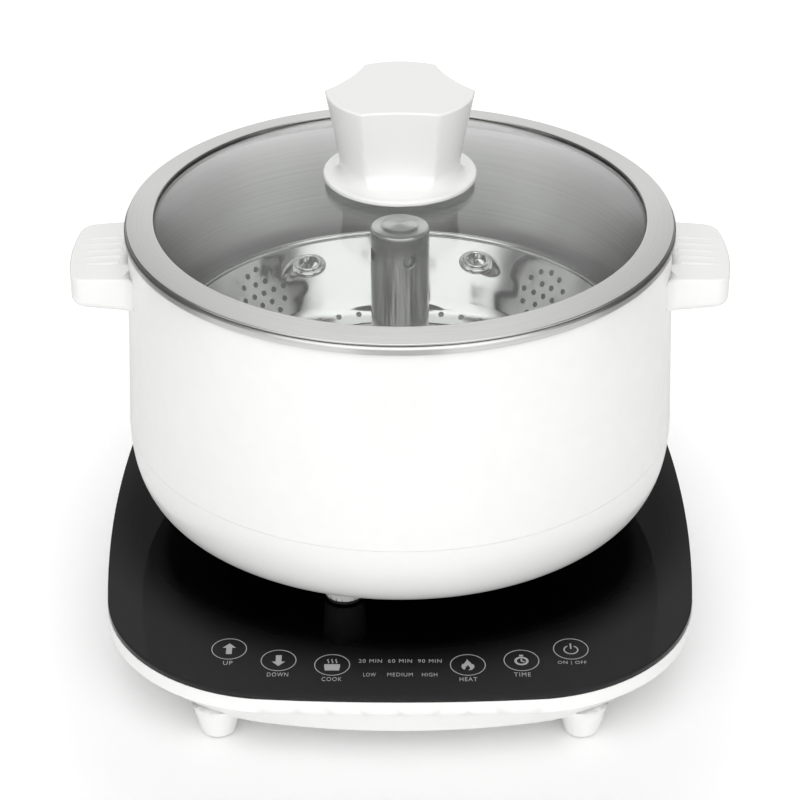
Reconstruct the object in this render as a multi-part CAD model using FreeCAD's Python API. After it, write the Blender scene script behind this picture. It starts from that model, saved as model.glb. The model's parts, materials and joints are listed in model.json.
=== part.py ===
import FreeCAD, Part
import math
import os

# Electric lifting hot pot: a touch-control base, a double-wall pot that lifts off it,
# a perforated basket that a lead screw raises, and a domed glass lid.
# Millimetres. +Z is up, the floor is z = 0, the base's footprint is centred on the
# origin, and the controls face -Y. The pot's axis stands POT_Y behind the centre.

Vec = FreeCAD.Vector
UP = Vec(0, 0, 1)
JOIN = 0.5
NEAR = 0.01

# --- Driving dimensions: running and fitting clearances -------------------------------
RUNNING_CLEARANCE = 0.05
PART_CLEARANCE = 0.3
SPLIT_GAP = 0.2

# --- Driving dimensions: base -------------------------------------------------------
POT_Y = 6.5
PANEL = dict(half_x=155.4, half_y=171.0, end_radius=900.0, side_radius=800.0, corner=91.0)
BELLY_INSET = 6.5
BELLY_BOW_RADIUS = 340.0
BELLY_CORNER = 88.0
BELLY_BOTTOM = 16.3
BELLY_HEIGHT = 14.1
BELLY_SET_BACK = 1.4
BELLY_WALL = 2.6
BAND_HEIGHT = 7.9
BAND_OVERHANG = 0.3
BAND_WALL = 3.0
GLASS_THICKNESS = 3.5
GLASS_EDGE_RADIUS = 0.8
GLASS_LEDGE_WIDTH = 11.0
GLASS_LEDGE_THICKNESS = 2.4
GASKET_THICKNESS = 0.5
GASKET_WIDTH = 7.0
WELL_BOTTOM = 6.0
WELL_WALL = 2.5
WELL_CLEARANCE = 1.75
FOOT_INSET_X = 64.0
FOOT_INSET_Y = 29.5
FOOT_TOP_RADIUS = 13.0
FOOT_TIP_RADIUS = 8.6
FOOT_EDGE_RADIUS = 2.4
FOOT_PAD_RADIUS = 5.8
FOOT_PAD_THICKNESS = 1.4
FOOT_PAD_PROUD = 0.6
BASE_BOSS_RADIUS = 5.6
BASE_WEB_THICKNESS = 3.0
BASE_WEB_LENGTH = 40.0
BASE_SCREW_RADIUS = 2.0
BASE_SCREW_HEAD_RADIUS = 3.8
BASE_SCREW_HEAD_HEIGHT = 2.4
BASE_SCREW_HEAD_SEAT = 6.0
BASE_SCREW_TIP_COVER = 1.8
GLAND_X = 58.0
GLAND_RISE = 7.3
GLAND_RADIUS = 5.6
GLAND_BORE_RADIUS = 3.4
GLAND_MOUTH_INSET = 4.0
GLAND_REACH = 6.0
GLAND_LENGTH = 20.0
GLAND_COLLAR_RADIUS = 7.0
GLAND_COLLAR_THICKNESS = 2.0

# --- Driving dimensions: controls and electrics --------------------------------------
# A key's spot is its x and its distance in from the panel's front edge.
KEY_SPOTS = [(-85.4, 39.8), (-60.3, 30.1), (-33.6, 26.3), (33.6, 26.3), (60.3, 30.1), (85.4, 39.8)]
KEY_RADIUS = 8.86
KEY_PAD_THICKNESS = 0.8
TOUCH_BOARD_WIDTH = 192.0
TOUCH_BOARD_MARGIN = 0.8
BOARD_THICKNESS = 1.6
POWER_BOARD_WIDTH = 54.0
POWER_BOARD_DEPTH = 92.0
POWER_BOARD_GAP = 8.0
BOARD_POST_HEIGHT = 5.0
BOARD_POST_RADIUS = 3.0
BOARD_POST_INSET = 5.0
# Each case's x and y run from the board's low corner.
TRANSFORMER = dict(x=8.0, y=34.0, width=22.0, depth=24.0, height=14.0)
RELAY = dict(x=8.0, y=10.0, width=16.0, depth=18.0, height=12.0)
TERMINAL = dict(x=8.0, y=72.0, width=32.0, depth=10.0, height=10.0)
HEAT_SINK = dict(x=40.0, y=42.0, width=6.0, depth=30.0, height=13.0)
CAPACITOR = dict(x=42.0, y=20.0, radius=6.0, height=13.0)

# --- Driving dimensions: lift drive ---------------------------------------------------
GEAR_MODULE = 1.0
GEAR_ADDENDUM = 0.85
GEAR_DEDENDUM = 1.2
GEAR_BACKLASH = 0.24
GEAR_PRESSURE_ANGLE = math.radians(20.0)
FLANK_STEPS = 4
PINION_TEETH = 16
OUTPUT_TEETH = 56
GEAR_WIDTH = 4.6
GEAR_HEADROOM = 1.4
GEAR_PLATE_THICKNESS = 1.5
GEAR_PLATE_GAP = 1.2
GEAR_PLATE_MARGIN = 3.0
GEAR_PLATE_TAIL = 6.0
GEAR_PLATE_CORNER = 8.0
GEAR_PLATE_POST_RADIUS = 3.2
GEAR_PLATE_POST_INSET = 6.2
MOTOR_RADIUS = 15.0
MOTOR_WALL = 1.6
MOTOR_END_WALL = 2.5
MOTOR_FLOOR_GAP = 0.4
MOTOR_SHAFT_RADIUS = 2.0
MOTOR_SHAFT_HOLE_CLEARANCE = 1.0
MOTOR_BEARING_DEPTH = 1.5
ROTOR_GAP = 0.8
DRIVE_SHAFT_RADIUS = 5.0
DRIVE_HEAD_STEP = 3.0
DRIVE_HEAD_DROP = 1.5
PIVOT_HEIGHT = 5.0
PIVOT_WALL = 3.0
DOG_SLOT_DEPTH = 4.0
DOG_SLOT_WIDTH = 3.6
DOG_END_MARGIN = 2.0

# --- Driving dimensions: plug-in coupling between base and pot ------------------------
HUB_RISE = 12.0
HUB_EDGE_RADIUS = 1.5
HUB_FLANGE_STEP = 10.0
HUB_FLANGE_THICKNESS = 3.0
HUB_SLIDE_CLEARANCE = 0.4
CONTACT_COUNT = 3
CONTACT_PITCH = 5.5
CONTACT_MARGIN = 5.0
CONTACT_RIM = 6.0
CONTACT_WIDTH = 2.2
CONTACT_DEPTH = 1.0
CONTACT_FIRST_ANGLE = 90.0
CONTACT_PIN_RADIUS = 1.0
CONTACT_PIN_TAIL = 4.0
CONNECTOR_WALL = 3.6
CONNECTOR_GROUND_GAP = 5.0
CONNECTOR_CEILING_GAP = 2.5
CONNECTOR_FLANGE_STEP = 8.0
CONNECTOR_FLANGE_THICKNESS = 2.5

# --- Driving dimensions: pot ------------------------------------------------------------
POT_LIFT = 24.0
COVER_HEIGHT = 38.1
SHELL_HEIGHT = 106.8
SHELL_TOP_RADIUS = 139.4
SHELL_TAPER = 4.5
SHELL_WALL = 2.2
SHELL_EDGE_RADIUS = 0.5
SHELL_LIP_WIDTH = 5.6
COVER_FLAT_INSET = 18.9
COVER_FULLNESS = 2.25
COVER_STEPS = 14
COVER_WALL = 2.4
COVER_LIP_HEIGHT = 4.0
COVER_LIP_ROOT = 8.0
COVER_LIP_WALL = 2.0
VESSEL_GAP = 7.4
VESSEL_FLOOR_DROP = 11.9
VESSEL_SHEET = 0.8
VESSEL_CORNER_RADIUS = 20.0
FLANGE_OVERHANG = 1.8
FLANGE_RISE = 4.4
FLANGE_CLEARANCE = 0.4
FLANGE_EDGE_RADIUS = 1.5
RIM_GASKET_INSET = 1.0
RIM_GASKET_WIDTH = 4.0
POT_FOOT_CIRCLE_RADIUS = 93.6
POT_FOOT_ANGLES = [-107.8, 12.2, 132.2]
POT_FOOT_TOP_RADIUS = 11.4
POT_FOOT_RADIUS = 10.2
POT_FOOT_PAD_THICKNESS = 2.0
POT_FOOT_PAD_INSET = 0.5
HEATER_INSET = 36.0
HEATER_THICKNESS = 5.0
ELEMENT_INSET = 28.0
ELEMENT_TUBE_RADIUS = 3.8
ELEMENT_SUNK = 1.6
ELEMENT_SWEEP = 310.0
ELEMENT_START = 115.0
THERMOSTAT_RADIUS = 9.0
THERMOSTAT_HEIGHT = 9.0
THERMOSTAT_GAP = 20.0

# --- Driving dimensions: handles ---------------------------------------------------------
HANDLE_LENGTH = 30.5
HANDLE_ROOT_HALF_WIDTH = 34.6
HANDLE_TIP_HALF_WIDTH = 32.3
HANDLE_TIP_INSET = 3.3
HANDLE_CORNER_RADIUS = 9.0
HANDLE_BOW_RADIUS = 150.0
HANDLE_FAIRING_RADIUS = 8.0
HANDLE_FAIRING_SINK = 1.7
HANDLE_FAIRING_SPREAD = 11.9
HANDLE_FAIRING_END_SINK = 0.66
HANDLE_ROOT_DEPTH = 22.0
HANDLE_DROP = 14.8
HANDLE_ROOT_THICKNESS = 18.8
HANDLE_TOP_FALL = 1.3
HANDLE_BOTTOM_RISE = 1.7
HANDLE_TOP_EDGE_RADIUS = 0.9
HANDLE_BOTTOM_EDGE_RADIUS = 4.0
HANDLE_STOCK = 5.0
RECESS_WALL = 5.5
RECESS_DEPTH = 12.0
RECESS_START = 7.1
RECESS_CORNER_RADIUS = 5.0
RIDGE_COUNT = 5
RIDGE_PITCH = 7.4
RIDGE_RADIUS = 2.2
RIDGE_HEIGHT = 0.7
RIDGE_START = 4.1
RIDGE_END_INSET = 7.4
BRACKET_THICKNESS = 1.5
BRACKET_HALF_WIDTH = 26.0
BRACKET_INSET = 1.1
HANDLE_SCREW_Y = 20.0
HANDLE_SCREW_DROP = 5.5
HANDLE_SCREW_RADIUS = 2.0
HANDLE_SCREW_HEAD_RADIUS = 3.8
HANDLE_SCREW_HEAD_HEIGHT = 2.2
HANDLE_SCREW_DEPTH = 8.0

# --- Driving dimensions: lift column, from the screw outwards --------------------------
SCREW_RADIUS = 4.5
PUSH_TUBE_GAP = 2.0
PUSH_TUBE_WALL = 2.0
CHIMNEY_GAP = 1.8
CHIMNEY_KEY_DEPTH = 1.0
CHIMNEY_KEY_WIDTH = 2.0
CHIMNEY_WALL = 1.0
CHIMNEY_FLANGE_STEP = 5.7
CHIMNEY_FLANGE_THICKNESS = 1.0
CHIMNEY_FOOT_DROP = 3.4
CHIMNEY_TOP_DROP = 2.7
SCREW_TOP_DROP = 5.0
SCREW_COLLAR_STEP = 3.0
SCREW_COLLAR_THICKNESS = 2.6
SCREW_COLLAR_GAP = 0.1
BEARING_RISE = 4.8
NUT_GAP = 1.0
NUT_HEIGHT = 14.0

# --- Driving dimensions: basket ----------------------------------------------------------
BASKET_WALL_GAP = 12.1
BASKET_FLOOR_GAP = 9.8
BASKET_DEPTH = 44.8
BASKET_BEAD_RADIUS = 1.9
BASKET_WALL_SLOPE = 0.5
BASKET_SHEET = 0.8
BASKET_CORNER_RADIUS = 22.0
EYELET_ANGLES = [66.5, 118.5, -66.5, -118.5]
EYELET_DROP = 7.8
EYELET_RADIUS = 9.4
EYELET_HOLE_RADIUS = 5.2
EYELET_HEIGHT = 3.2
EYELET_EDGE_RADIUS = 1.5
EYELET_COLLAR_RADIUS = 7.3
EYELET_COLLAR_RISE = 1.3
EYELET_COLLAR_EDGE = 0.9
EYELET_LEAN = 0.24
EYELET_SPLAY = 0.08
EYELET_BITE = 0.4
COLLAR_CLEARANCE = 0.06
COLLAR_WALL = 1.74
COLLAR_HEIGHT = 10.0
SLEEVE_WALL = 1.0
SLEEVE_DROP = 9.0
SLEEVE_PORT_RADIUS = 3.5
SLEEVE_PORT_DROP = 11.7
SLEEVE_PORT_ANGLES = [-70.4, 19.6, 109.6, 199.6]
CAP_HEIGHT = 3.3
CAP_STEP_INSET = 5.4
CAP_STEP_HEIGHT = 0.7
CAP_STEP_DRAFT = 0.3
CAP_CROWN = 0.5
CAP_PLUG_DEPTH = 1.5
CAP_SHOULDER_RADIUS = 1.4

# --- Driving dimensions: lid -----------------------------------------------------------
LID_INSET = 1.0
LID_GAP = 0.4
LID_EDGE_HEIGHT = 1.0
LID_RIM_WIDTH = 14.0
LID_RIM_RISE = 2.3
LID_LIP_HEIGHT = 1.3
LID_SHEET = 1.0
LID_FOLD_RADIUS = 0.8
DOME_RISE = 20.6
DOME_EDGE_GAP = 0.2
DOME_THICKNESS = 4.0
DOME_OVERLAP = 2.3
LID_SEAL_SKIRT_DEPTH = 6.0
LID_SEAL_SKIRT_CLEARANCE = 0.6
LID_SEAL_LIP_WIDTH = 2.6
LID_SEAL_LIP_THICKNESS = 1.6
LID_SEAL_INSET = 0.6
KNOB_BASE_RISE = 0.7
KNOB_DISC_RADIUS = 39.0
KNOB_DISC_THICKNESS = 2.5
KNOB_DISC_SLOPE = 0.8
KNOB_DISC_LOW_EDGE = 0.6
KNOB_DISC_TOP_EDGE = 1.2
KNOB_FLARE_RADIUS = 6.0
KNOB_NECK_RISE = 10.0
KNOB_NECK_RADIUS = 29.6
KNOB_MIDDLE_RISE = 14.8
KNOB_MIDDLE_RADIUS = 33.4
KNOB_BULGE_RADIUS = 60.0
KNOB_HEIGHT = 46.6
KNOB_TOP_RADIUS = 37.6
KNOB_EDGE_RADIUS = 1.0
KNOB_FLAT_ANGLES = [270.0, 30.0, 150.0]
KNOB_FLAT_TOP_REACH = 31.2
KNOB_FLAT_NECK_REACH = 24.7
KNOB_DISH_RADIUS = 80.0
KNOB_PLATE_RADIUS = 36.4
KNOB_PLATE_THICKNESS = 1.5
WASHER_RADIUS = 34.0
KNOB_SCREW_RADIUS = 4.0
KNOB_SCREW_HOLE_CLEARANCE = 0.3
KNOB_SCREW_HEAD_RADIUS = 9.0
KNOB_SCREW_HEAD_HEIGHT = 2.4
KNOB_SCREW_DEPTH = 25.0

# --- Worked out from the above: base and drive -------------------------------------------
BELLY = dict(half_x=PANEL["half_x"] - BELLY_INSET, half_y=PANEL["half_y"] - BELLY_INSET,
             end_radius=BELLY_BOW_RADIUS, side_radius=BELLY_BOW_RADIUS, corner=BELLY_CORNER)
BELLY_TOP = BELLY_BOTTOM + BELLY_HEIGHT
BELLY_FLOOR = BELLY_BOTTOM + BELLY_WALL
BAND_BOTTOM = BELLY_TOP + SPLIT_GAP
BAND_TOP = BAND_BOTTOM + BAND_HEIGHT
GLASS_BOTTOM = BAND_TOP
GLASS_TOP = GLASS_BOTTOM + GLASS_THICKNESS
LEDGE_INSET = BAND_WALL + GLASS_LEDGE_WIDTH
TOUCH_BOARD_TOP = GLASS_BOTTOM - KEY_PAD_THICKNESS
TOUCH_BOARD_BOTTOM = TOUCH_BOARD_TOP - BOARD_THICKNESS
BASE_BOSS_TOP = TOUCH_BOARD_BOTTOM - PART_CLEARANCE
BASE_SCREW_TOP = BASE_BOSS_TOP - BASE_SCREW_TIP_COVER
FOOT_X = PANEL["half_x"] - FOOT_INSET_X
FOOT_Y = PANEL["half_y"] - FOOT_INSET_Y
GLAND_Z = BELLY_BOTTOM + GLAND_RISE
GLAND_MOUTH_Y = PANEL["half_y"] - GLAND_MOUTH_INSET
WELL_FLOOR = WELL_BOTTOM + WELL_WALL
GEAR_PLATE_WIDTH = GEAR_MODULE * OUTPUT_TEETH + 2 * GEAR_PLATE_MARGIN
POWER_BOARD_X = -(GEAR_PLATE_WIDTH / 2 + POWER_BOARD_GAP + POWER_BOARD_WIDTH / 2)
WELL_REACH = math.hypot(POWER_BOARD_X - POWER_BOARD_WIDTH / 2, POWER_BOARD_DEPTH / 2)
WELL_RADIUS = WELL_REACH + WELL_CLEARANCE + WELL_WALL
HUB_TOP = GLASS_TOP + HUB_RISE
HUB_FLANGE_BOTTOM = GLASS_BOTTOM - HUB_FLANGE_THICKNESS
GEAR_TOP = HUB_FLANGE_BOTTOM - GEAR_HEADROOM
GEAR_BOTTOM = GEAR_TOP - GEAR_WIDTH
GEAR_PLATE_TOP = GEAR_BOTTOM - GEAR_PLATE_GAP
GEAR_PLATE_BOTTOM = GEAR_PLATE_TOP - GEAR_PLATE_THICKNESS
MOTOR_Y = POT_Y + GEAR_MODULE * (PINION_TEETH + OUTPUT_TEETH) / 2
MOTOR_BOTTOM = WELL_FLOOR + MOTOR_FLOOR_GAP
ROTOR_BOTTOM = MOTOR_BOTTOM + MOTOR_END_WALL + PART_CLEARANCE
ROTOR_TOP = GEAR_PLATE_BOTTOM - MOTOR_END_WALL - PART_CLEARANCE
DRIVE_HEAD_RADIUS = DRIVE_SHAFT_RADIUS + DRIVE_HEAD_STEP
DRIVE_HEAD_BOTTOM = HUB_FLANGE_BOTTOM + PART_CLEARANCE
DRIVE_HEAD_TOP = HUB_TOP - DRIVE_HEAD_DROP
DOG_BOTTOM = DRIVE_HEAD_TOP - DOG_SLOT_DEPTH + PART_CLEARANCE
DOG_THICKNESS = DOG_SLOT_WIDTH - 2 * PART_CLEARANCE
DOG_WIDTH = 2 * (DRIVE_HEAD_RADIUS - DOG_END_MARGIN)
CONTACT_RADII = [DRIVE_HEAD_RADIUS + CONTACT_MARGIN + CONTACT_PITCH * index for index in range(CONTACT_COUNT)]
HUB_RADIUS = CONTACT_RADII[-1] + CONTACT_RIM
HUB_FLANGE_RADIUS = HUB_RADIUS + HUB_FLANGE_STEP
CONNECTOR_BOTTOM = GLASS_TOP + CONNECTOR_GROUND_GAP
CONNECTOR_CEILING = HUB_TOP + CONNECTOR_CEILING_GAP
CONNECTOR_RADIUS = HUB_RADIUS + HUB_SLIDE_CLEARANCE + CONNECTOR_WALL
CONNECTOR_FLANGE_RADIUS = CONNECTOR_RADIUS + CONNECTOR_FLANGE_STEP

# --- Worked out from the above: pot and handles ----------------------------------------------
POT_BOTTOM = GLASS_TOP + POT_LIFT
POT_SEAM = POT_BOTTOM + COVER_HEIGHT
COVER_TOP = POT_SEAM - SPLIT_GAP
CONNECTOR_TOP = POT_BOTTOM + COVER_WALL + CONNECTOR_FLANGE_THICKNESS
SHELL_TOP = POT_SEAM + SHELL_HEIGHT
SHELL_SEAM_RADIUS = SHELL_TOP_RADIUS + SHELL_TAPER
COVER_FLAT_RADIUS = SHELL_SEAM_RADIUS - COVER_FLAT_INSET
VESSEL_RADIUS = SHELL_TOP_RADIUS - VESSEL_GAP
VESSEL_FLOOR = POT_SEAM - VESSEL_FLOOR_DROP
VESSEL_UNDERSIDE = VESSEL_FLOOR - VESSEL_SHEET
FLANGE_TOP = SHELL_TOP + FLANGE_RISE
FLANGE_BOTTOM = SHELL_TOP + FLANGE_CLEARANCE
FLANGE_RADIUS = SHELL_TOP_RADIUS + FLANGE_OVERHANG
HEATER_BOTTOM = VESSEL_UNDERSIDE - HEATER_THICKNESS
HEATER_RADIUS = VESSEL_RADIUS - HEATER_INSET
ELEMENT_CIRCLE_RADIUS = HEATER_RADIUS - ELEMENT_INSET
HANDLE_REACH = SHELL_TOP_RADIUS + HANDLE_LENGTH
HANDLE_TIP_X = HANDLE_REACH - HANDLE_TIP_INSET
HANDLE_FAIRING_X = SHELL_TOP_RADIUS - HANDLE_FAIRING_SINK
HANDLE_FAIRING_END_Y = HANDLE_ROOT_HALF_WIDTH + HANDLE_FAIRING_SPREAD
HANDLE_FAIRING_END_X = math.sqrt(SHELL_TOP_RADIUS ** 2 - HANDLE_FAIRING_END_Y ** 2) - HANDLE_FAIRING_END_SINK
HANDLE_INNER_X = SHELL_TOP_RADIUS - HANDLE_ROOT_DEPTH
HANDLE_TOP_ROOT = SHELL_TOP - HANDLE_DROP
HANDLE_TOP_TIP = HANDLE_TOP_ROOT - HANDLE_TOP_FALL
HANDLE_BOTTOM_ROOT = HANDLE_TOP_ROOT - HANDLE_ROOT_THICKNESS
HANDLE_BOTTOM_TIP = HANDLE_BOTTOM_ROOT + HANDLE_BOTTOM_RISE
RIDGE_START_X = SHELL_TOP_RADIUS + RIDGE_START
RIDGE_END_X = HANDLE_REACH - RIDGE_END_INSET
RECESS_START_X = SHELL_TOP_RADIUS + RECESS_START
BRACKET_BOTTOM = HANDLE_BOTTOM_ROOT + BRACKET_INSET
BRACKET_TOP = HANDLE_TOP_ROOT - BRACKET_INSET
HANDLE_SCREW_Z = HANDLE_TOP_ROOT - HANDLE_SCREW_DROP

# --- Worked out from the above: lift column, basket and lid -------------------------------------
PUSH_TUBE_BORE = SCREW_RADIUS + PUSH_TUBE_GAP
PUSH_TUBE_RADIUS = PUSH_TUBE_BORE + PUSH_TUBE_WALL
CHIMNEY_BORE = PUSH_TUBE_RADIUS + CHIMNEY_GAP + CHIMNEY_KEY_DEPTH
CHIMNEY_RADIUS = CHIMNEY_BORE + CHIMNEY_WALL
CHIMNEY_FLANGE_RADIUS = CHIMNEY_RADIUS + CHIMNEY_FLANGE_STEP
CHIMNEY_FOOT = VESSEL_UNDERSIDE - CHIMNEY_FOOT_DROP
HEATER_BORE_RADIUS = CHIMNEY_FLANGE_RADIUS
THERMOSTAT_X = HEATER_BORE_RADIUS + THERMOSTAT_GAP
COLLAR_BORE = CHIMNEY_RADIUS + COLLAR_CLEARANCE
SLEEVE_BORE = COLLAR_BORE + COLLAR_WALL
SLEEVE_RADIUS = SLEEVE_BORE + SLEEVE_WALL
SLEEVE_TOP = FLANGE_TOP - SLEEVE_DROP
SLEEVE_PORT_Z = SLEEVE_TOP - SLEEVE_PORT_DROP
CAP_TOP = SLEEVE_TOP + CAP_HEIGHT
CAP_STEP_RADIUS = SLEEVE_RADIUS - CAP_STEP_INSET
PUSH_TUBE_TOP = SLEEVE_TOP - CAP_PLUG_DEPTH - PART_CLEARANCE
CHIMNEY_TOP = PUSH_TUBE_TOP - CHIMNEY_TOP_DROP
SCREW_TOP = CHIMNEY_TOP - SCREW_TOP_DROP
SCREW_COLLAR_RADIUS = DRIVE_SHAFT_RADIUS + SCREW_COLLAR_STEP
BEARING_TOP = VESSEL_FLOOR + BEARING_RISE
NUT_BOTTOM = BEARING_TOP + NUT_GAP
NUT_TOP = NUT_BOTTOM + NUT_HEIGHT
BASKET_RIM_RADIUS = VESSEL_RADIUS - BASKET_WALL_GAP
BASKET_FLOOR = VESSEL_FLOOR + BASKET_FLOOR_GAP
BASKET_RIM_Z = BASKET_FLOOR + BASKET_DEPTH
BASKET_CORNER_X = BASKET_RIM_RADIUS - BASKET_DEPTH * BASKET_WALL_SLOPE
BASKET_SLANT = math.hypot(1, BASKET_WALL_SLOPE)
BASKET_INNER_RADIUS = BASKET_RIM_RADIUS - BASKET_SHEET * BASKET_SLANT
EYELET_Z = BASKET_RIM_Z - EYELET_DROP
EYELET_WALL_RADIUS = BASKET_INNER_RADIUS - EYELET_DROP * BASKET_WALL_SLOPE
LID_RADIUS = FLANGE_RADIUS - LID_INSET
LID_EDGE_BOTTOM = FLANGE_TOP + LID_GAP
LID_EDGE_TOP = LID_EDGE_BOTTOM + LID_EDGE_HEIGHT
LID_INNER_RADIUS = LID_RADIUS - LID_RIM_WIDTH
LID_INNER_TOP = LID_EDGE_TOP + LID_RIM_RISE
LID_INNER_BOTTOM = LID_INNER_TOP - LID_LIP_HEIGHT
LID_SLOPE = LID_RIM_RISE / LID_RIM_WIDTH
DOME_RADIUS = LID_INNER_RADIUS + DOME_OVERLAP
DOME_EDGE_Z = LID_INNER_BOTTOM - DOME_EDGE_GAP
DOME_CROWN = DOME_EDGE_Z + DOME_RISE
DOME_SPHERE = (LID_INNER_RADIUS ** 2 + DOME_RISE ** 2) / (2 * DOME_RISE)
DOME_CENTRE_Z = DOME_CROWN - DOME_SPHERE
SEAL_SKIRT_RADIUS = VESSEL_RADIUS - LID_SEAL_SKIRT_CLEARANCE
SEAL_SKIRT_BOTTOM = FLANGE_TOP - LID_SEAL_SKIRT_DEPTH
KNOB_BASE_Z = DOME_CROWN + KNOB_BASE_RISE
KNOB_DISC_TOP = KNOB_BASE_Z + KNOB_DISC_THICKNESS
KNOB_NECK_Z = KNOB_BASE_Z + KNOB_NECK_RISE
KNOB_MIDDLE_Z = KNOB_NECK_Z + KNOB_MIDDLE_RISE
KNOB_TOP = KNOB_BASE_Z + KNOB_HEIGHT
KNOB_SCREW_TOP = KNOB_BASE_Z + KNOB_SCREW_DEPTH


# --- Shape helpers ------------------------------------------------------------------------
def rounded_wire(points, place):
    """A closed wire through (u, v) points; a third value rounds that corner."""
    corners = [Vec(point[0], point[1], 0) for point in points]
    radii = [point[2] if len(point) > 2 else 0.0 for point in points]
    stops = []
    for index, corner in enumerate(corners):
        to_last = (corners[index - 1] - corner).normalize()
        to_next = (corners[(index + 1) % len(corners)] - corner).normalize()
        radius = radii[index]
        if radius == 0.0:
            stops.append([corner])
            continue
        half_angle = to_last.getAngle(to_next) / 2
        reach = radius / math.tan(half_angle)
        inward = (to_last + to_next).normalize()
        centre = corner + inward * (radius / math.sin(half_angle))
        stops.append([corner + to_last * reach, centre - inward * radius, corner + to_next * reach])
    edges = []
    for index, stop in enumerate(stops):
        start = stops[index - 1][-1]
        if not stop[0].isEqual(start, NEAR):
            edges.append(Part.LineSegment(place(start), place(stop[0])).toShape())
        if len(stop) == 3:
            edges.append(Part.Arc(place(stop[0]), place(stop[1]), place(stop[2])).toShape())
    return Part.Wire(edges)


def upright(point):
    """Profile plane through the pot's axis: u is the radius and v the height."""
    return Vec(point.x, POT_Y, point.y)


def turned(points):
    """A solid turned about the pot's axis from (radius, height, rounding) points."""
    return spun(Part.Face(rounded_wire(points, upright)))


def spun(face):
    return face.revolve(Vec(0, POT_Y, 0), UP, 360)


def disc(radius, low, high, x=0.0, y=POT_Y):
    return Part.makeCylinder(radius, high - low, Vec(x, y, low))


def ring(outer, inner, low, high, x=0.0, y=POT_Y):
    return disc(outer, low, high, x, y).cut(disc(inner, low, high, x, y))


def block(x_low, x_high, y_low, y_high, low, high):
    return Part.makeBox(x_high - x_low, y_high - y_low, high - low, Vec(x_low, y_low, low))


def around(radius, angle):
    """The point at this radius and angle about the pot's axis."""
    turn = math.radians(angle)
    return Vec(radius * math.cos(turn), POT_Y + radius * math.sin(turn), 0)


def joined(solids):
    result = solids[0]
    for solid in solids[1:]:
        result = result.fuse(solid)
    return result.removeSplitter()


def outline(half_x, half_y, end_radius, side_radius, corner, height, inset=0.0):
    """A soft rectangle: bowed ends and sides that run into the corners without a kink."""
    end_centre = Vec(0, half_y - end_radius, 0)
    side_centre = Vec(half_x - side_radius, 0, 0)
    end_reach = end_radius - corner
    side_reach = side_radius - corner
    span = side_centre - end_centre
    along = (end_reach ** 2 - side_reach ** 2 + span.Length ** 2) / (2 * span.Length)
    across = math.sqrt(end_reach ** 2 - along ** 2)
    direction = Vec(span).normalize()
    corner_centre = end_centre + direction * along + Vec(direction.y, -direction.x, 0) * across
    end_turn = math.atan2(corner_centre.y - end_centre.y, corner_centre.x - end_centre.x)
    side_turn = math.atan2(corner_centre.y - side_centre.y, corner_centre.x - side_centre.x)
    edges = []
    for sign_x, sign_y in [(1, 1), (-1, 1), (-1, -1), (1, -1)]:
        arcs = [(side_centre, side_radius, 0.0, side_turn),
                (corner_centre, corner, side_turn, end_turn),
                (end_centre, end_radius, end_turn, math.pi / 2)]
        if sign_x * sign_y < 0:
            arcs = [(centre, radius, stop, start) for centre, radius, start, stop in reversed(arcs)]
        for centre, radius, start, stop in arcs:
            stations = []
            for turn in (start, (start + stop) / 2, stop):
                reach = radius - inset
                stations.append(Vec(sign_x * (centre.x + reach * math.cos(turn)),
                                    sign_y * (centre.y + reach * math.sin(turn)), height))
            edges.append(Part.Arc(*stations).toShape())
    return Part.Wire(edges)


def slab(shape, low, high, inset=0.0):
    """The outline raised from one height to another."""
    return Part.Face(outline(height=low, inset=inset, **shape)).extrude(Vec(0, 0, high - low))


def gear(teeth, low, high, x, y, first_tooth):
    """A spur gear with involute flanks and one tooth at the angle first_tooth."""
    pitch_radius = GEAR_MODULE * teeth / 2
    base_radius = pitch_radius * math.cos(GEAR_PRESSURE_ANGLE)
    tip_radius = pitch_radius + GEAR_ADDENDUM
    root_radius = pitch_radius - GEAR_DEDENDUM
    pitch_half = math.pi / (2 * teeth) - GEAR_BACKLASH / (4 * pitch_radius)
    base_half = pitch_half + math.tan(GEAR_PRESSURE_ANGLE) - GEAR_PRESSURE_ANGLE

    def half_at(radius):
        roll = math.acos(min(1.0, base_radius / radius))
        return base_half - (math.tan(roll) - roll)

    start = max(base_radius, root_radius)
    flank = [(root_radius, half_at(start))]
    for step in range(FLANK_STEPS + 1):
        radius = start + (tip_radius - start) * step / FLANK_STEPS
        flank.append((radius, half_at(radius)))
    if root_radius >= base_radius:
        flank = flank[1:]
    points = []
    for tooth in range(teeth):
        middle = math.radians(first_tooth) + 2 * math.pi * tooth / teeth
        side = [(radius, middle - half) for radius, half in flank]
        side += [(radius, middle + half) for radius, half in reversed(flank)]
        for radius, turn in side:
            points.append(Vec(x + radius * math.cos(turn), y + radius * math.sin(turn), low))
    points.append(points[0])
    return Part.Face(Part.makePolygon(points)).extrude(Vec(0, 0, high - low))


def screw(head_radius, head_height, radius, length, seat, direction):
    """A pan-head screw: the head's underside sits on seat and the shank runs along direction."""
    head = Part.makeCylinder(head_radius, head_height, seat - direction * head_height, direction)
    shank = Part.makeCylinder(radius, length, seat, direction)
    return joined([head, shank])


def foot_spots():
    return [(x, y) for x in (-FOOT_X, FOOT_X) for y in (-FOOT_Y, FOOT_Y)]


# --- Base ------------------------------------------------------------------------------------
def base_screws():
    length = BASE_SCREW_TOP - BASE_SCREW_HEAD_SEAT
    return [screw(BASE_SCREW_HEAD_RADIUS, BASE_SCREW_HEAD_HEIGHT, BASE_SCREW_RADIUS, length,
                  Vec(x, y, BASE_SCREW_HEAD_SEAT), UP) for x, y in foot_spots()]


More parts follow.
